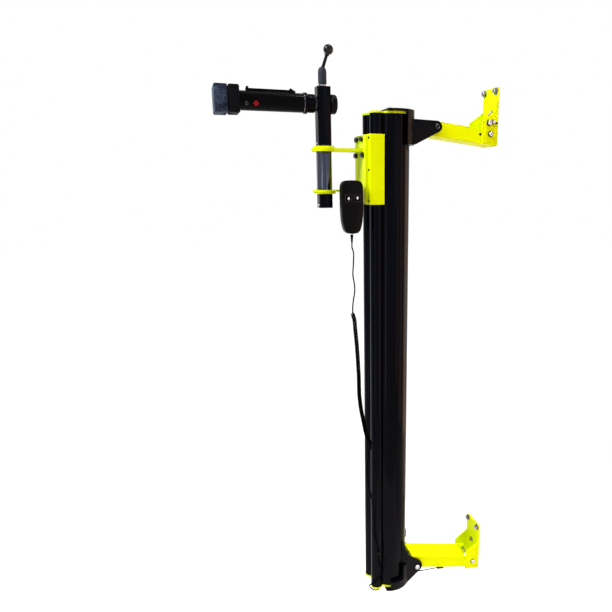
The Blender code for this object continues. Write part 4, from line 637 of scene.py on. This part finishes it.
def block(low, high):
    """A plain block between two corners, ready to be shaped."""
    clear_selection()
    bpy.ops.mesh.primitive_cube_add(size=1)
    obj = bpy.context.object
    low, high = Vector(low), Vector(high)
    obj.location = (low + high) / 2
    obj.scale = high - low
    return fix_place(obj)


def carve(obj, tool, operation="DIFFERENCE"):
    """Cuts a tool's shape out of a piece and takes the tool away."""
    select_only(obj)
    cut = obj.modifiers.new("carve", "BOOLEAN")
    cut.operation = operation
    cut.solver = "EXACT"
    cut.object = tool
    bpy.ops.object.modifier_apply(modifier=cut.name)
    bpy.data.objects.remove(tool)
    return obj


def joined(first, *others):
    """Several shapes as one piece."""
    select_only(first)
    for other in others:
        other.select_set(True)
    bpy.ops.object.join()
    return first


def copy_of(master):
    """A copy with a mesh of its own."""
    twin = master.copy()
    twin.data = master.data.copy()
    bpy.context.scene.collection.objects.link(twin)
    return twin


def smooth_path(route, step, parts=12):
    """Evenly spaced points of a smooth curve through a route's points."""
    knots = [Vector(point) for point in route]
    knots = [2 * knots[0] - knots[1], *knots, 2 * knots[-1] - knots[-2]]
    fine = []
    for a, b, c, d in zip(knots, knots[1:], knots[2:], knots[3:]):
        for i in range(parts):
            t = i / parts
            square = 2 * a - 5 * b + 4 * c - d
            cube = 3 * b - a - 3 * c + d
            fine.append(0.5 * (2 * b + (c - a) * t + square * t * t + cube * t * t * t))
    fine.append(knots[-2])
    lengths = np.cumsum([0.0] + [(q - p).length for p, q in zip(fine, fine[1:])])
    count = max(2, round(lengths[-1] / step))
    marks = np.linspace(0, lengths[-1], count + 1)
    table = np.array([tuple(point) for point in fine])
    return [Vector([np.interp(mark, lengths, table[:, k]) for k in range(3)]) for mark in marks]


def frames_along(path):
    """A tangent and two square directions at each point of a path, which don't twist."""
    last = len(path) - 1
    spans = [path[min(i + 1, last)] - path[max(i - 1, 0)] for i in range(len(path))]
    tangents = [span.normalized() for span in spans]
    side = tangents[0].orthogonal().normalized()
    frames = []
    for tangent in tangents:
        side = (side - tangent * side.dot(tangent)).normalized()
        frames.append((tangent, side, tangent.cross(side)))
    return frames


def curls_along(route):
    """The curly stretch: a helix along its route, which closes to the route's line at both ends."""
    path = smooth_path(route, 0.002)
    frames = frames_along(path)
    last = len(path) - 1
    margin = 2
    closing_turns = 1.2
    count = CURL_COUNT * POINTS_PER_CURL
    points = [path[0], path[0] + frames[0][0] * 2 * CORD_RADIUS]
    for i in range(count + 1):
        place = margin + (last - 2 * margin) * i / count
        index = min(int(place), last - 1)
        middle = path[index].lerp(path[index + 1], place - index)
        _, side, other = frames[index]
        turns = i / POINTS_PER_CURL
        share = min(1.0, turns / closing_turns, (CURL_COUNT - turns) / closing_turns)
        radius = CURL_RADIUS * share * share * (3 - 2 * share)
        angle = 2 * math.pi * turns
        points.append(middle + (side * math.cos(angle) + other * math.sin(angle)) * radius)
    return points + [path[-1] - frames[-1][0] * 2 * CORD_RADIUS, path[-1]]


def tube_mesh(name, path, radius, sides):
    """A round tube along a path, with closed ends."""
    rows = []
    for point, (_, side, other) in zip(path, frames_along(path)):
        for k in range(sides):
            angle = 2 * math.pi * k / sides
            rows.append(point + (side * math.cos(angle) + other * math.sin(angle)) * radius)
    faces = []
    for i in range(len(path) - 1):
        for k in range(sides):
            a, b = i * sides + k, i * sides + (k + 1) % sides
            faces.append((a, b, b + sides, a + sides))
    faces.append(tuple(reversed(range(sides))))
    faces.append(tuple(range((len(path) - 1) * sides, len(path) * sides)))
    mesh = bpy.data.meshes.new(name)
    mesh.from_pydata([tuple(row) for row in rows], [], faces)
    obj = bpy.data.objects.new(name, mesh)
    bpy.context.scene.collection.objects.link(obj)
    return obj


def path_length(path):
    """The length along a path's points."""
    return sum((q - p).length for p, q in zip(path, path[1:]))


def make_cord(name, path, radius, sides, replaced):
    """A cord's piece along its path."""
    cord = tube_mesh(name, path, radius, sides)
    return settle(cord, name, RUBBER, "frame", replaced, 80)


def declare_cord(cord, path, radius, far_end="object", stiffness="limp", **pieces):
    """Works out the length of a cord's path, and passes nothing on."""
    path_length(path)


def make_handset_cord():
    """The handset's cord in two pieces, above and below the clip's top."""
    upper = smooth_path(HANDSET_ROUTE, CORD_STEP)
    upper += curls_along(CURLY_ROUTE)
    upper += smooth_path(COLUMN_ROUTE, CORD_STEP)[1:]
    cord = make_cord("handset_cord", upper, CORD_RADIUS, CORD_SIDES, ("handset_lead", "curly_cord"))
    declare_cord(cord, upper, CORD_RADIUS)
    lift = next(joint for joint in frame["joints"] if joint["name"] == "carriage_lift")
    drop = -min(lift["range_m"])
    keep = 1 - drop / (upper[0].z - CLIP_TOP[2])
    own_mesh(cord)

    lower = smooth_path(BASE_ROUTE, CORD_STEP)
    lower.append(Vector((lower[-1].x, lower[-1].y, GLAND_LOW)))
    base = make_cord("base_cord", lower, CORD_RADIUS, CORD_SIDES, ("base_lead",))
    declare_cord(base, lower, CORD_RADIUS)


def make_connector(place, along):
    """The in-line connector at the supply lead's end: a tapered neck, a grooved collar and a body."""
    radius, length = CONNECTOR_RADIUS, CONNECTOR_LENGTH
    profile = [
        (SUPPLY_RADIUS * 1.15, 0.0),
        (radius * 0.72, 0.0025),
        (radius * 0.96, 0.0042),
        (radius, 0.0050),
        (radius, 0.0105),
        (radius * 0.86, 0.0110),
        (radius * 0.86, 0.0125),
        (radius, 0.0130),
        (radius, length - 0.0022),
        (radius * 0.8, length - 0.0003),
        (radius * 0.55, length - 0.0003),
    ]
    return settle(turn(profile, place, along, 32), "supply_connector", RUBBER, "frame")


def make_supply_lead():
    """The supply lead, from the column's foot to its connector."""
    supply = smooth_path(SUPPLY_ROUTE, 0.003)
    lead = make_cord("supply_cord", supply, SUPPLY_RADIUS, 12, ("supply_lead",))
    end = Vector(SUPPLY_ROUTE[-1])
    along = (end - Vector(SUPPLY_ROUTE[-2])).normalized()
    connector = make_connector(end - along * 0.001, along)
    declare_cord(lead, supply, SUPPLY_RADIUS, "connector", "medium", with_pieces=[connector])


make_handset_cord()
make_supply_lead()


def hexagon_head(across, height):
    """A hexagon head with its corners turned down."""
    corner = across / math.sqrt(3)
    middle = (0, 0, height / 2)
    clear_selection()
    bpy.ops.mesh.primitive_cylinder_add(vertices=6, radius=corner, depth=height, location=middle)
    head = fix_place(bpy.context.object)
    cone = [(corner * 1.1, -0.001), (corner * 1.1, height * 0.70), (corner * 0.78, height + 0.0001)]
    return carve(head, blank(cone, 36), "INTERSECT")


def hexagon_bolt(across, height, washer_radius, washer):
    """A hexagon head on its washer, along Z."""
    head = hexagon_head(across, height)
    head.location.z = washer
    fix_place(head)
    return joined(head, soften(plug(washer_radius, 0, washer, 40), washer * 0.25))


def button_bolt(radius, height, recess=0.38):
    """A domed head with a hexagon recess, along Z."""
    dome = [
        (radius, 0),
        (radius, height * 0.22),
        (radius * 0.95, height * 0.48),
        (radius * 0.82, height * 0.75),
        (radius * 0.62, height * 0.93),
        (radius * 0.46, height),
    ]
    key = plug(radius * recess, height * 0.45, height * 1.2, 6)
    return carve(blank(dome, 40), key)


def socket_bolt(radius, height):
    """A cap head with a hexagon socket, along Z."""
    head = soften(plug(radius, 0, height, 48), radius * 0.09)
    return carve(head, plug(radius * 0.52, height * 0.4, height * 1.2, 6))


def set_copies(master, places, along, finish, body, turn_by=0.0):
    """Copies of one piece, by name and place; names of CAD nodes are what the copies stand for."""
    for name, place in places:
        twin = copy_of(master)
        twin.rotation_euler = (0, 0, turn_by)
        fix_place(twin)
        stand(twin, place, along)
        settle(twin, f"{name}_head", finish, body, (name,) if name in frame["nodes"] else ())
    bpy.data.objects.remove(master)


def four_names(form):
    """Names of four like nodes, upper and lower, near and far."""
    return [form.format(level, side) for level in ("upper", "lower") for side in ("near", "far")]


def make_wall_bolts():
    """Hexagon bolts through the brackets into the wall."""
    places = [(name, middle_of(name, x=WALL_PLATE_FRONT)) for name in four_names("{}_wall_bolt_{}")]
    bolt = hexagon_bolt(0.0130, 0.0070, 0.0095, 0.0016)
    set_copies(bolt, places, OUTWARD, DULL_ZINC, "frame", 0.3)


def cross_bolt(node, head, nut, reach, length, lift=0.0):
    """A CAD node's bolt between two flanges: its domed head, its nut and its shank."""
    near = stand(head, middle_of(node, y=-reach - lift), NEAR)
    far = stand(nut, middle_of(node, y=reach), FAR)
    shank = turn([(0.0040, 0), (0.0040, length)], middle_of(node, y=-reach), FAR, 24)
    return joined(near, far, shank)


def make_flange_bolts():
    """Bolts across the wall brackets, each with a dark collar under its head."""
    thickness = 0.0013
    for level in ("upper", "lower"):
        node = f"{level}_flange_bolt"
        head = button_bolt(0.0058, 0.0048)
        collar = turn([(0.0078, 0), (0.0078, thickness)], middle_of(node, y=-FLANGE_FACE), NEAR, 40)
        settle(collar, f"{level}_flange_collar", OXIDE, "frame")
        nut = hexagon_bolt(0.0130, 0.0062, 0.0080, 0.0014)
        piece = cross_bolt(node, head, nut, FLANGE_FACE, 0.0850, thickness)
        settle(piece, f"{node}_ends", ZINC, "frame", (node,))


def make_pivot_bolts():
    """Bolts across the arms and the holders' ears."""
    ear_face = 0.0450
    for level, finish in (("upper", OXIDE), ("lower", ZINC)):
        node = f"{level}_pivot_bolt"
        head = button_bolt(0.0070, 0.0052)
        nut = hexagon_bolt(0.0130, 0.0064, 0.0078, 0.0012)
        piece = cross_bolt(node, head, nut, ear_face, 2 * ear_face)
        settle(piece, f"{node}_ends", finish, "frame", (node,))


def make_carriage_screws():
    """Cap screws of the mast bracket and domed screws of the folded sheet."""
    bracket_face = high_of("mast_bracket").x - 0.0075
    places = [(name, middle_of(name, x=bracket_face)) for name in four_names("mast_bolt_{}_{}")]
    set_copies(socket_bolt(0.0064, 0.0082), places, OUTWARD, OXIDE, "carriage", 0.2)
    sheet_face = low_of("carriage_sheet").x
    spots = [(y, z) for y in (-0.0485, 0.0485) for z in (1.290, 1.212, 1.135)]
    places = [(f"side_screw_{i}", (sheet_face, y, z)) for i, (y, z) in enumerate(spots)]
    set_copies(button_bolt(0.0033, 0.0018), places, OUTWARD, OXIDE, "carriage")


def make_small_bolts():
    """Screws of the mast, bolts of the upper holder, and one bolt each of the foot and the lower bracket."""
    post_face = low_of("mast_foot").x
    places = [("post_screw_high", (post_face, 0, 1.2760)), ("post_screw_low", (post_face, 0, 1.1245))]
    set_copies(button_bolt(0.0032, 0.0017), places, OUTWARD, ZINC, "mast")
    holder = Vector((-0.3120, 0, high_of("upper_column_holder").z))
    reach = Vector((0, 0.0482, 0))
    places = [("cap_bolt_near", holder - reach), ("cap_bolt_far", holder + reach)]
    set_copies(hexagon_bolt(0.0105, 0.0040, 0.0072, 0.0010), places, UP, ZINC, "frame")
    corner = Vector((-0.0367, -0.0352, 0)).normalized()
    places = [("base_screw", (-0.3316, -0.0351, middle_of("column_bottom_plate").z))]
    set_copies(button_bolt(0.0021, 0.0012), places, corner, ZINC, "frame")
    places = [("lower_plate_bolt", (WALL_PLATE_FRONT, 0.003, 0.043))]
    set_copies(hexagon_bolt(0.0100, 0.0050, 0.0080, 0.0012), places, OUTWARD, DULL_ZINC, "frame")


def make_flange_face():
    """Two bolts with dark washers and a short dark bar on the upper bracket's near flange."""
    heads, washers = [], []
    for across, height, radius, thickness, x, z in (
        (0.0105, 0.0050, 0.0080, 0.0012, -0.0275, 1.3362),
        (0.0080, 0.0042, 0.0062, 0.0010, -0.0150, 1.3384),
    ):
        heads.append(stand(hexagon_head(across, height), (x, -FLANGE_FACE - thickness, z), NEAR))
        washers.append(turn([(radius, 0), (radius, thickness)], (x, -FLANGE_FACE, z), NEAR, 40))
    settle(joined(*heads), "flange_face_bolts", ZINC, "frame")
    settle(joined(*washers), "flange_face_washers", OXIDE, "frame")
    # A short dark block beside the bolts, reaching towards the flange's near edge.
    dark_bar_back = -FLANGE_FACE - 0.0001
    dark_bar = block((-0.0110, dark_bar_back - 0.0021, 1.3338), (-0.0012, dark_bar_back, 1.3388))
    settle_dressed(soften(dark_bar, 0.0008), "flange_face_strap", OXIDE, "frame")


def make_slot_plate():
    """A slanting plate on the upper bracket's front, with a bolt at each end."""
    half_length, half_width, thickness = 0.0115, 0.0036, 0.0018
    front = Vector((WALL_PLATE_FRONT - thickness, -0.0050, 1.3640))
    corner = Vector((0, half_length, half_width))
    plate = soften(block(front - corner, front + corner + Vector((thickness, 0, 0))), 0.0008)
    select_only(plate)
    bpy.ops.transform.rotate(value=math.radians(33), orient_axis="X", center_override=front)
    settle_dressed(plate, "slot_plate", OXIDE, "frame")
    offset = Vector((0, 0.0050, -0.0032))
    places = [("slot_bolt_0", front + offset), ("slot_bolt_1", front - offset)]
    set_copies(button_bolt(0.0034, 0.0026), places, OUTWARD, ZINC, "frame")


def make_fasteners():
    """Every bolt and screw that shows, apart from the clamp tube's."""
    make_wall_bolts()
    make_flange_bolts()
    make_pivot_bolts()
    make_carriage_screws()
    make_small_bolts()
    make_flange_face()
    make_slot_plate()


def make_upper_arm():
    """The upper arm with a hole in its near side, filled almost flush with a dark disc as painted shade."""
    face, x, z = low_of("upper_arm").y, -0.0493, 1.3073
    arm = merged_copy("upper_arm")
    carve(arm, turn([(0.0046, 0), (0.0046, 0.010)], (x, face - 0.004, z), FAR, 32))
    soften(arm, 0.0006)
    settle_dressed(arm, "upper_arm_finished", YELLOW, "frame", ("upper_arm",))
    # A dark disc almost flush in the hole: painted shade standing in for the hole's dark inside.
    hole_shade_disc = turn([(0.0034, 0), (0.0034, 0.0026)], (x, face + 0.0028, z), NEAR, 32)
    settle(hole_shade_disc, "arm_rivet", OXIDE, "frame")


def make_back_clip():
    """A second cord clip, behind the column."""
    back = high_of("column_tube").x
    clip = soften(block((back - 0.0012, -0.0060, 0.112), (back + 0.0048, 0.0060, 0.138)), 0.0012, 3)
    settle_dressed(clip, "column_back_clip", PLASTIC, "frame")


def make_wall_side():
    """Column, holders, arms and brackets."""
    dress("column_tube", ANODISED, "frame", 0.0004)
    for node in ("column_top_plate", "column_bottom_plate"):
        dress(node, YELLOW, "frame", 0.0006)
    for node in ("upper_column_holder", "lower_column_holder"):
        dress(node, CASTING, "frame", 0.0009, 3)
    make_upper_arm()
    for node in ("lower_arm", "upper_wall_bracket", "lower_wall_bracket"):
        dress(node, YELLOW, "frame", 0.0007)
    dress("cord_clip", PLASTIC, "frame", 0.0003)
    make_back_clip()
    coat("cord_gland", RUBBER)
    coat("motor", HUB_GREY)
    coat("gearbox", ZINC)
    coat("lower_screw_bearing", BRONZE)
    coat("upper_screw_bearing", BRONZE)
    coat("lead_screw", BRIGHT)


def key_block(middle, half, depth, rounding):
    """A square block through the handset's face, with its corners rounded as seen from the front."""
    reach = Vector((half, depth, half))
    pad = block(middle - reach, middle + reach)

    def runs_back(edge):
        start, end = (pad.data.vertices[index].co for index in edge.vertices)
        return abs((start - end).y) > 0.0005

    pick(pad, "EDGE", runs_back)
    bpy.ops.mesh.bevel(offset=rounding, segments=5)
    bpy.ops.object.mode_set(mode="OBJECT")
    return pad


def make_arrow(place, up):
    """A printed arrow, a triangle with a stem, that points up, or down where up is -1."""
    thickness = 0.0004
    head = disc(3, 0.0044, (0, 0, 0))
    open_all(head)
    bpy.ops.mesh.extrude_region_move(TRANSFORM_OT_translate={"value": (0, 0, thickness)})
    bpy.ops.object.mode_set(mode="OBJECT")
    arrow = joined(head, block((-0.0015, -0.0042, 0), (0.0015, -0.0016, thickness)))
    arrow.scale = (1, up, 1)
    arrow.rotation_euler = (math.radians(90), 0, 0)
    arrow.location = place
    return face_outward(fix_place(arrow))


def make_keys():
    """Key pads with their raised borders and printed arrows."""
    for name, up in (("up", 1), ("down", -1)):
        key, body = f"{name}_key", f"{name}_button"
        middle = middle_of(key, y=HANDSET_FACE)
        print_place = middle_of(key, y=low_of(key).y + 0.0002)
        dress(key, RUBBER, body, 0.0008, 3)
        border = carve(key_block(middle, 0.0087, 0.0004, 0.0030), key_block(middle, 0.0078, 0.002, 0.0023))
        settle(border, f"{name}_key_border", BORDER, "carriage")
        settle(make_arrow(print_place, up), f"{name}_arrow", PRINT, body)


def make_strain_relief():
    """The handset's strain relief: a collar, six ribs that narrow downward, and a tip."""
    profile = [(0.0039, 0), (0.0039, 0.0030), (0.0031, 0.0035)]
    for i in range(6):
        crest = 0.0036 - 0.0003 * i
        top = 0.0050 + 0.0030 * i
        profile += [(crest, top), (crest, top + 0.0012), (crest - 0.0006, top + 0.0016)]
    profile += [(0.0018, 0.0232), (0.0017, 0.0249)]
    top_place = middle_of("strain_relief", z=high_of("strain_relief").z)
    piece = turn(profile, top_place, (0, 0, -1), 40)
    settle(piece, "strain_relief_ribbed", RUBBER, "carriage", ("strain_relief",))


def make_carriage_side():
    """Carriage, mast bracket and handset."""
    dress("carriage_sheet", YELLOW, "carriage", 0.0006)
    dress("mast_bracket", YELLOW, "carriage", 0.0007)
    for node in ("upper_guide_shoe", "lower_guide_shoe"):
        dress(node, NYLON, "carriage", 0.0003)
    for node in ("upper_bush", "lower_bush"):
        dress(node, BRONZE, "carriage", 0.0003)
    coat("drive_nut", BRONZE)
    coat("drive_bracket", ZINC)
    for node in ("handset_front", "handset_back"):
        dress(node, PLASTIC, "carriage", 0.0005, 2, 30)
    dress("handset_hook", ZINC, "carriage", 0.0005)
    make_keys()
    make_strain_relief()


def make_lever_hub(foot):
    """The lever's domed hub and its bright washer."""
    hub = [
        (0.0075, 0.0002),
        (0.0075, 0.0055),
        (0.0090, 0.0056),
        (0.0104, 0.0075),
        (0.0104, 0.0330),
        (0.0097, 0.0385),
        (0.0080, 0.0425),
        (0.0056, 0.0446),
    ]
    piece = turn(hub, foot, UP)
    settle(piece, "lever_hub_turned", HUB_GREY, "lever", ("lever_hub",))
    washer = soften(plug(0.0089, 0.0004, 0.0050, 56), 0.0004)
    carve(washer, plug(0.0077, -0.001, 0.008, 56))
    settle(stand(washer, foot, UP), "lever_washer", DULL_ZINC, "lever")


def make_lever_rod(start, ball_place):
    """The lever's leaning rod and the ball at its end, with a neck round the rod."""
    along = (ball_place - start).normalized()
    length = (ball_place - start).length
    rod = [
        (0.0046, 0),
        (0.0046, 0.0085),
        (0.0040, 0.0100),
        (0.0038, length - 0.0140),
        (0.0038, length - 0.0063),
    ]
    piece = turn(rod, start, along, 40)
    settle(piece, "lever_rod_turned", BLUE_BLACK, "lever", ("lever_rod",))
    clear_selection()
    bpy.ops.mesh.primitive_uv_sphere_add(segments=48, ring_count=32, radius=0.0122)
    ball = fix_place(bpy.context.object)
    neck = blank([(0.0050, -0.0146), (0.0058, -0.0138), (0.0062, -0.0105), (0.0062, -0.0080)], 48)
    carve(ball, neck, "UNION")
    carve(ball, plug(0.0041, -0.0160, -0.0055, 40))
    stand(ball, ball_place, along)
    settle(ball, "lever_ball_turned", GLOSS, "lever", ("lever_ball",))


def make_lever():
    """The lever on top of the mast."""
    foot = Vector((MAST_X, 0, POST_TOP))
    make_lever_hub(foot)
    make_lever_rod(foot + Vector((0, 0, 0.0388)), foot + Vector((0.0165, 0, 0.0860)))


def make_lock_ring():
    """The lock ring, with a band of ridges between two smooth rims."""
    rim, root, crest, bore, length = 0.0215, 0.0207, 0.0011, 0.0126, 0.0185
    band_start, band_end, ridges = 0.0033, 0.0152, 24
    profile = [
        (rim - 0.0010, 0.0001),
        (rim, 0.0010),
        (rim, band_start - 0.0005),
        (root, band_start),
        (root, band_end),
        (rim, band_end + 0.0005),
        (rim, length - 0.0010),
        (rim - 0.0010, length - 0.0001),
    ]
    ring = blank(profile, 96)

    def on_ridge(face):
        middle = face.center
        ridge = math.atan2(middle.y, middle.x) / (2 * math.pi) * ridges
        return band_start < middle.z < band_end and ridge % 1 < 0.5

    pick(ring, "FACE", on_ridge)
    bpy.ops.mesh.extrude_region_shrink_fatten(TRANSFORM_OT_shrink_fatten={"value": crest})
    bpy.ops.object.mode_set(mode="OBJECT")
    carve(ring, plug(bore, -0.001, length + 0.001))
    stand(ring, (high_of("lock_ring").x, 0, CLAMP_Z), OUTWARD)
    settle(ring, "lock_ring_ridged", TUBE_BLACK, "ring", ("lock_ring",))


def make_tube_fittings():
    """Release button with its bezel, and the screw beside it, on the clamp tube's near side."""
    tilt = math.radians(20)
    out = Vector((0, -math.cos(tilt), -math.sin(tilt)))
    surface = Vector((0, 0, CLAMP_Z)) + out * TUBE_RADIUS
    button_place = surface + Vector((middle_of("release_button").x, 0, 0))
    screw_place = surface + Vector((-0.6600, 0, 0))
    dome = [
        (0.0062, -0.0038),
        (0.0062, 0.0006),
        (0.0058, 0.0015),
        (0.0048, 0.0021),
        (0.0032, 0.00245),
        (0.0015, 0.00250),
    ]
    button = turn(dome, button_place, out, 56)
    settle(button, "release_button_domed", RED, "red_button", ("release_button",))
    bezel = soften(plug(0.0084, -0.0024, 0.0009), 0.0005)
    carve(bezel, plug(0.0066, -0.006, 0.004))
    settle(stand(bezel, button_place, out), "button_bezel", TUBE_BLACK, "clamp_head")
    boss = soften(plug(0.0062, -0.0012, 0.0010, 48), 0.0004)
    settle(stand(boss, screw_place, out), "screw_boss", TUBE_BLACK, "clamp_head")
    screw = stand(button_bolt(0.0052, 0.0028), screw_place + out * 0.0010, out)
    settle(screw, "tube_screw", OXIDE, "clamp_head")


def make_edge_rings():
    """Thin bright metal rings at the clamp tube's end and behind the lock ring: painted highlights for the
    glints on those chamfered edges.
    """
    collar_x = high_of("clamp_tube").x + 0.0008
    ring_x = high_of("lock_ring").x + 0.0005
    for name, x, radius in (("collar_edge", collar_x, 0.0249), ("ring_edge", ring_x, 0.0200)):
        # Each ring is a bright zinc band put where only a glint shows: a painted highlight.
        edge = soften(plug(radius, 0, 0.0008, 96), 0.0003, 1)
        carve(edge, plug(radius - 0.0016, -0.001, 0.002, 96))
        settle(stand(edge, (x, 0, CLAMP_Z), OUTWARD), name, DULL_ZINC, "clamp_head")


def make_top_bar():
    """The bar on the clamp tube, with a long recess in each side."""
    bar = merged_copy("clamp_top_bar")
    for side in (-1, 1):
        inner, outer = sorted((side * 0.0040, side * 0.010))
        carve(bar, block((-0.6510, inner, 1.3850), (-0.5660, outer, 1.3937)))
    soften(bar, 0.0004)
    name = "clamp_top_bar_finished"
    settle_dressed(bar, name, TUBE_BLACK, "clamp_head", ("clamp_top_bar",))


def make_mast_side():
    """Mast, lever and clamp head."""
    dress("mast_post", MAST_COAT, "mast", 0.0005)
    dress("mast_foot", BLUE_BLACK, "mast", 0.0006)
    make_lever()
    dress("clamp_tube", TUBE_BLACK, "clamp_head", 0.0004)
    dress("clamp_collar", TUBE_BLACK, "clamp_head", 0.0005)
    dress("clamp_spindle", OXIDE, "clamp_head", 0.0004)
    dress("inner_jaw", INNER_JAW, "clamp_head", 0.0010, 3)
    dress("outer_jaw", JAW, "jaw", 0.0010, 3)
    make_top_bar()
    make_lock_ring()
    make_tube_fittings()
    make_edge_rings()
    dress("rear_knob", PLASTIC, "knob", 0.0006)


make_fasteners()
make_wall_side()
make_carriage_side()
make_mast_side()


def make_floor():
    """A pale floor that brightens away from the hoist."""
    floor = disc(96, 12, (-0.35, 0, -0.30))
    floor.name = "floor"
    finish = Finish("pale_floor")
    away = finish.node("ShaderNodeVectorMath", {"operation": "LENGTH"}, {0: finish.place})["Value"]
    fading = finish.spread(away * 0.2, 0.08, 0.60) * 0.40 + 0.42
    finish.set(colour=(0.80, 0.80, 0.80), roughness=0.7, glow_colour=(1, 1, 1), glow=finish.seen() * fading)
    floor.data.materials.append(finish.material)


def make_surroundings():
    """White surroundings where they are seen, mirrored or looked through, and a dim light elsewhere."""
    world = bpy.data.worlds.new("surroundings")
    bpy.context.scene.world = world
    world.use_nodes = True
    nodes = Nodes(world.node_tree)
    inputs = {"Value": nodes.seen(), "To Min": 0.20, "To Max": 1.0}
    background = world.node_tree.nodes["Background"]
    nodes.feed(background.inputs["Strength"], nodes.node("ShaderNodeMapRange", None, inputs)["Result"])
    nodes.feed(background.inputs["Color"], (1, 1, 1))


def add_light(name, place, target, size, power, colour=(1, 1, 1), spread=180):
    """A soft rectangular lamp aimed at a point, with its spread in degrees."""
    data = bpy.data.lights.new(name, "AREA")
    data.shape = "RECTANGLE"
    data.size, data.size_y = size
    data.energy = power
    data.color = colour
    data.spread = math.radians(spread)
    lamp = bpy.data.objects.new(name, data)
    bpy.context.scene.collection.objects.link(lamp)
    lamp.location = place
    lamp.rotation_euler = (Vector(target) - Vector(place)).to_track_quat("-Z", "Y").to_euler()


def add_lights():
    """A main lamp, cool and warm lamps round the hoist, and weak ones below and above."""
    middle = (-0.35, 0, 0.8)
    add_light("key", (-2.3, -0.45, 2.9), middle, (1.3, 1.3), 102)
    add_light("front_strip", (-1.85, -1.55, 0.85), middle, (0.25, 2.4), 9, (0.66, 0.80, 1.0))
    add_light("back_strip", (-1.55, 1.75, 0.85), middle, (0.45, 2.4), 9, (0.58, 0.74, 1.0))
    add_light("cool_window", (0.10, -1.75, 1.55), (-0.26, 0, 1.1), (0.35, 1.1), 2.5, (0.40, 0.56, 1.0))
    add_light("warm_front", (0.52, -1.50, 0.75), (-0.26, 0, 0.75), (0.40, 1.5), 4, (1.0, 0.50, 0.28))
    add_light("warm_middle", (0.98, -0.98, 0.80), (-0.26, 0, 0.8), (0.55, 2.0), 8, (1.0, 0.50, 0.27))
    add_light("warm_side", (1.35, 0.05, 0.80), (-0.26, 0, 0.8), (0.80, 2.2), 26, (1.0, 0.54, 0.30))
    add_light("under", (-0.45, -0.35, -0.27), (-0.35, 0, 1.4), (1.3, 1.0), 3.5)
    add_light("overhead", (0.10, -0.30, 2.9), (-0.14, 0, 0.0), (0.5, 0.5), 2.4, spread=24)


make_floor()
make_surroundings()
add_lights()
bpy.context.scene.view_settings.view_transform = "Standard"
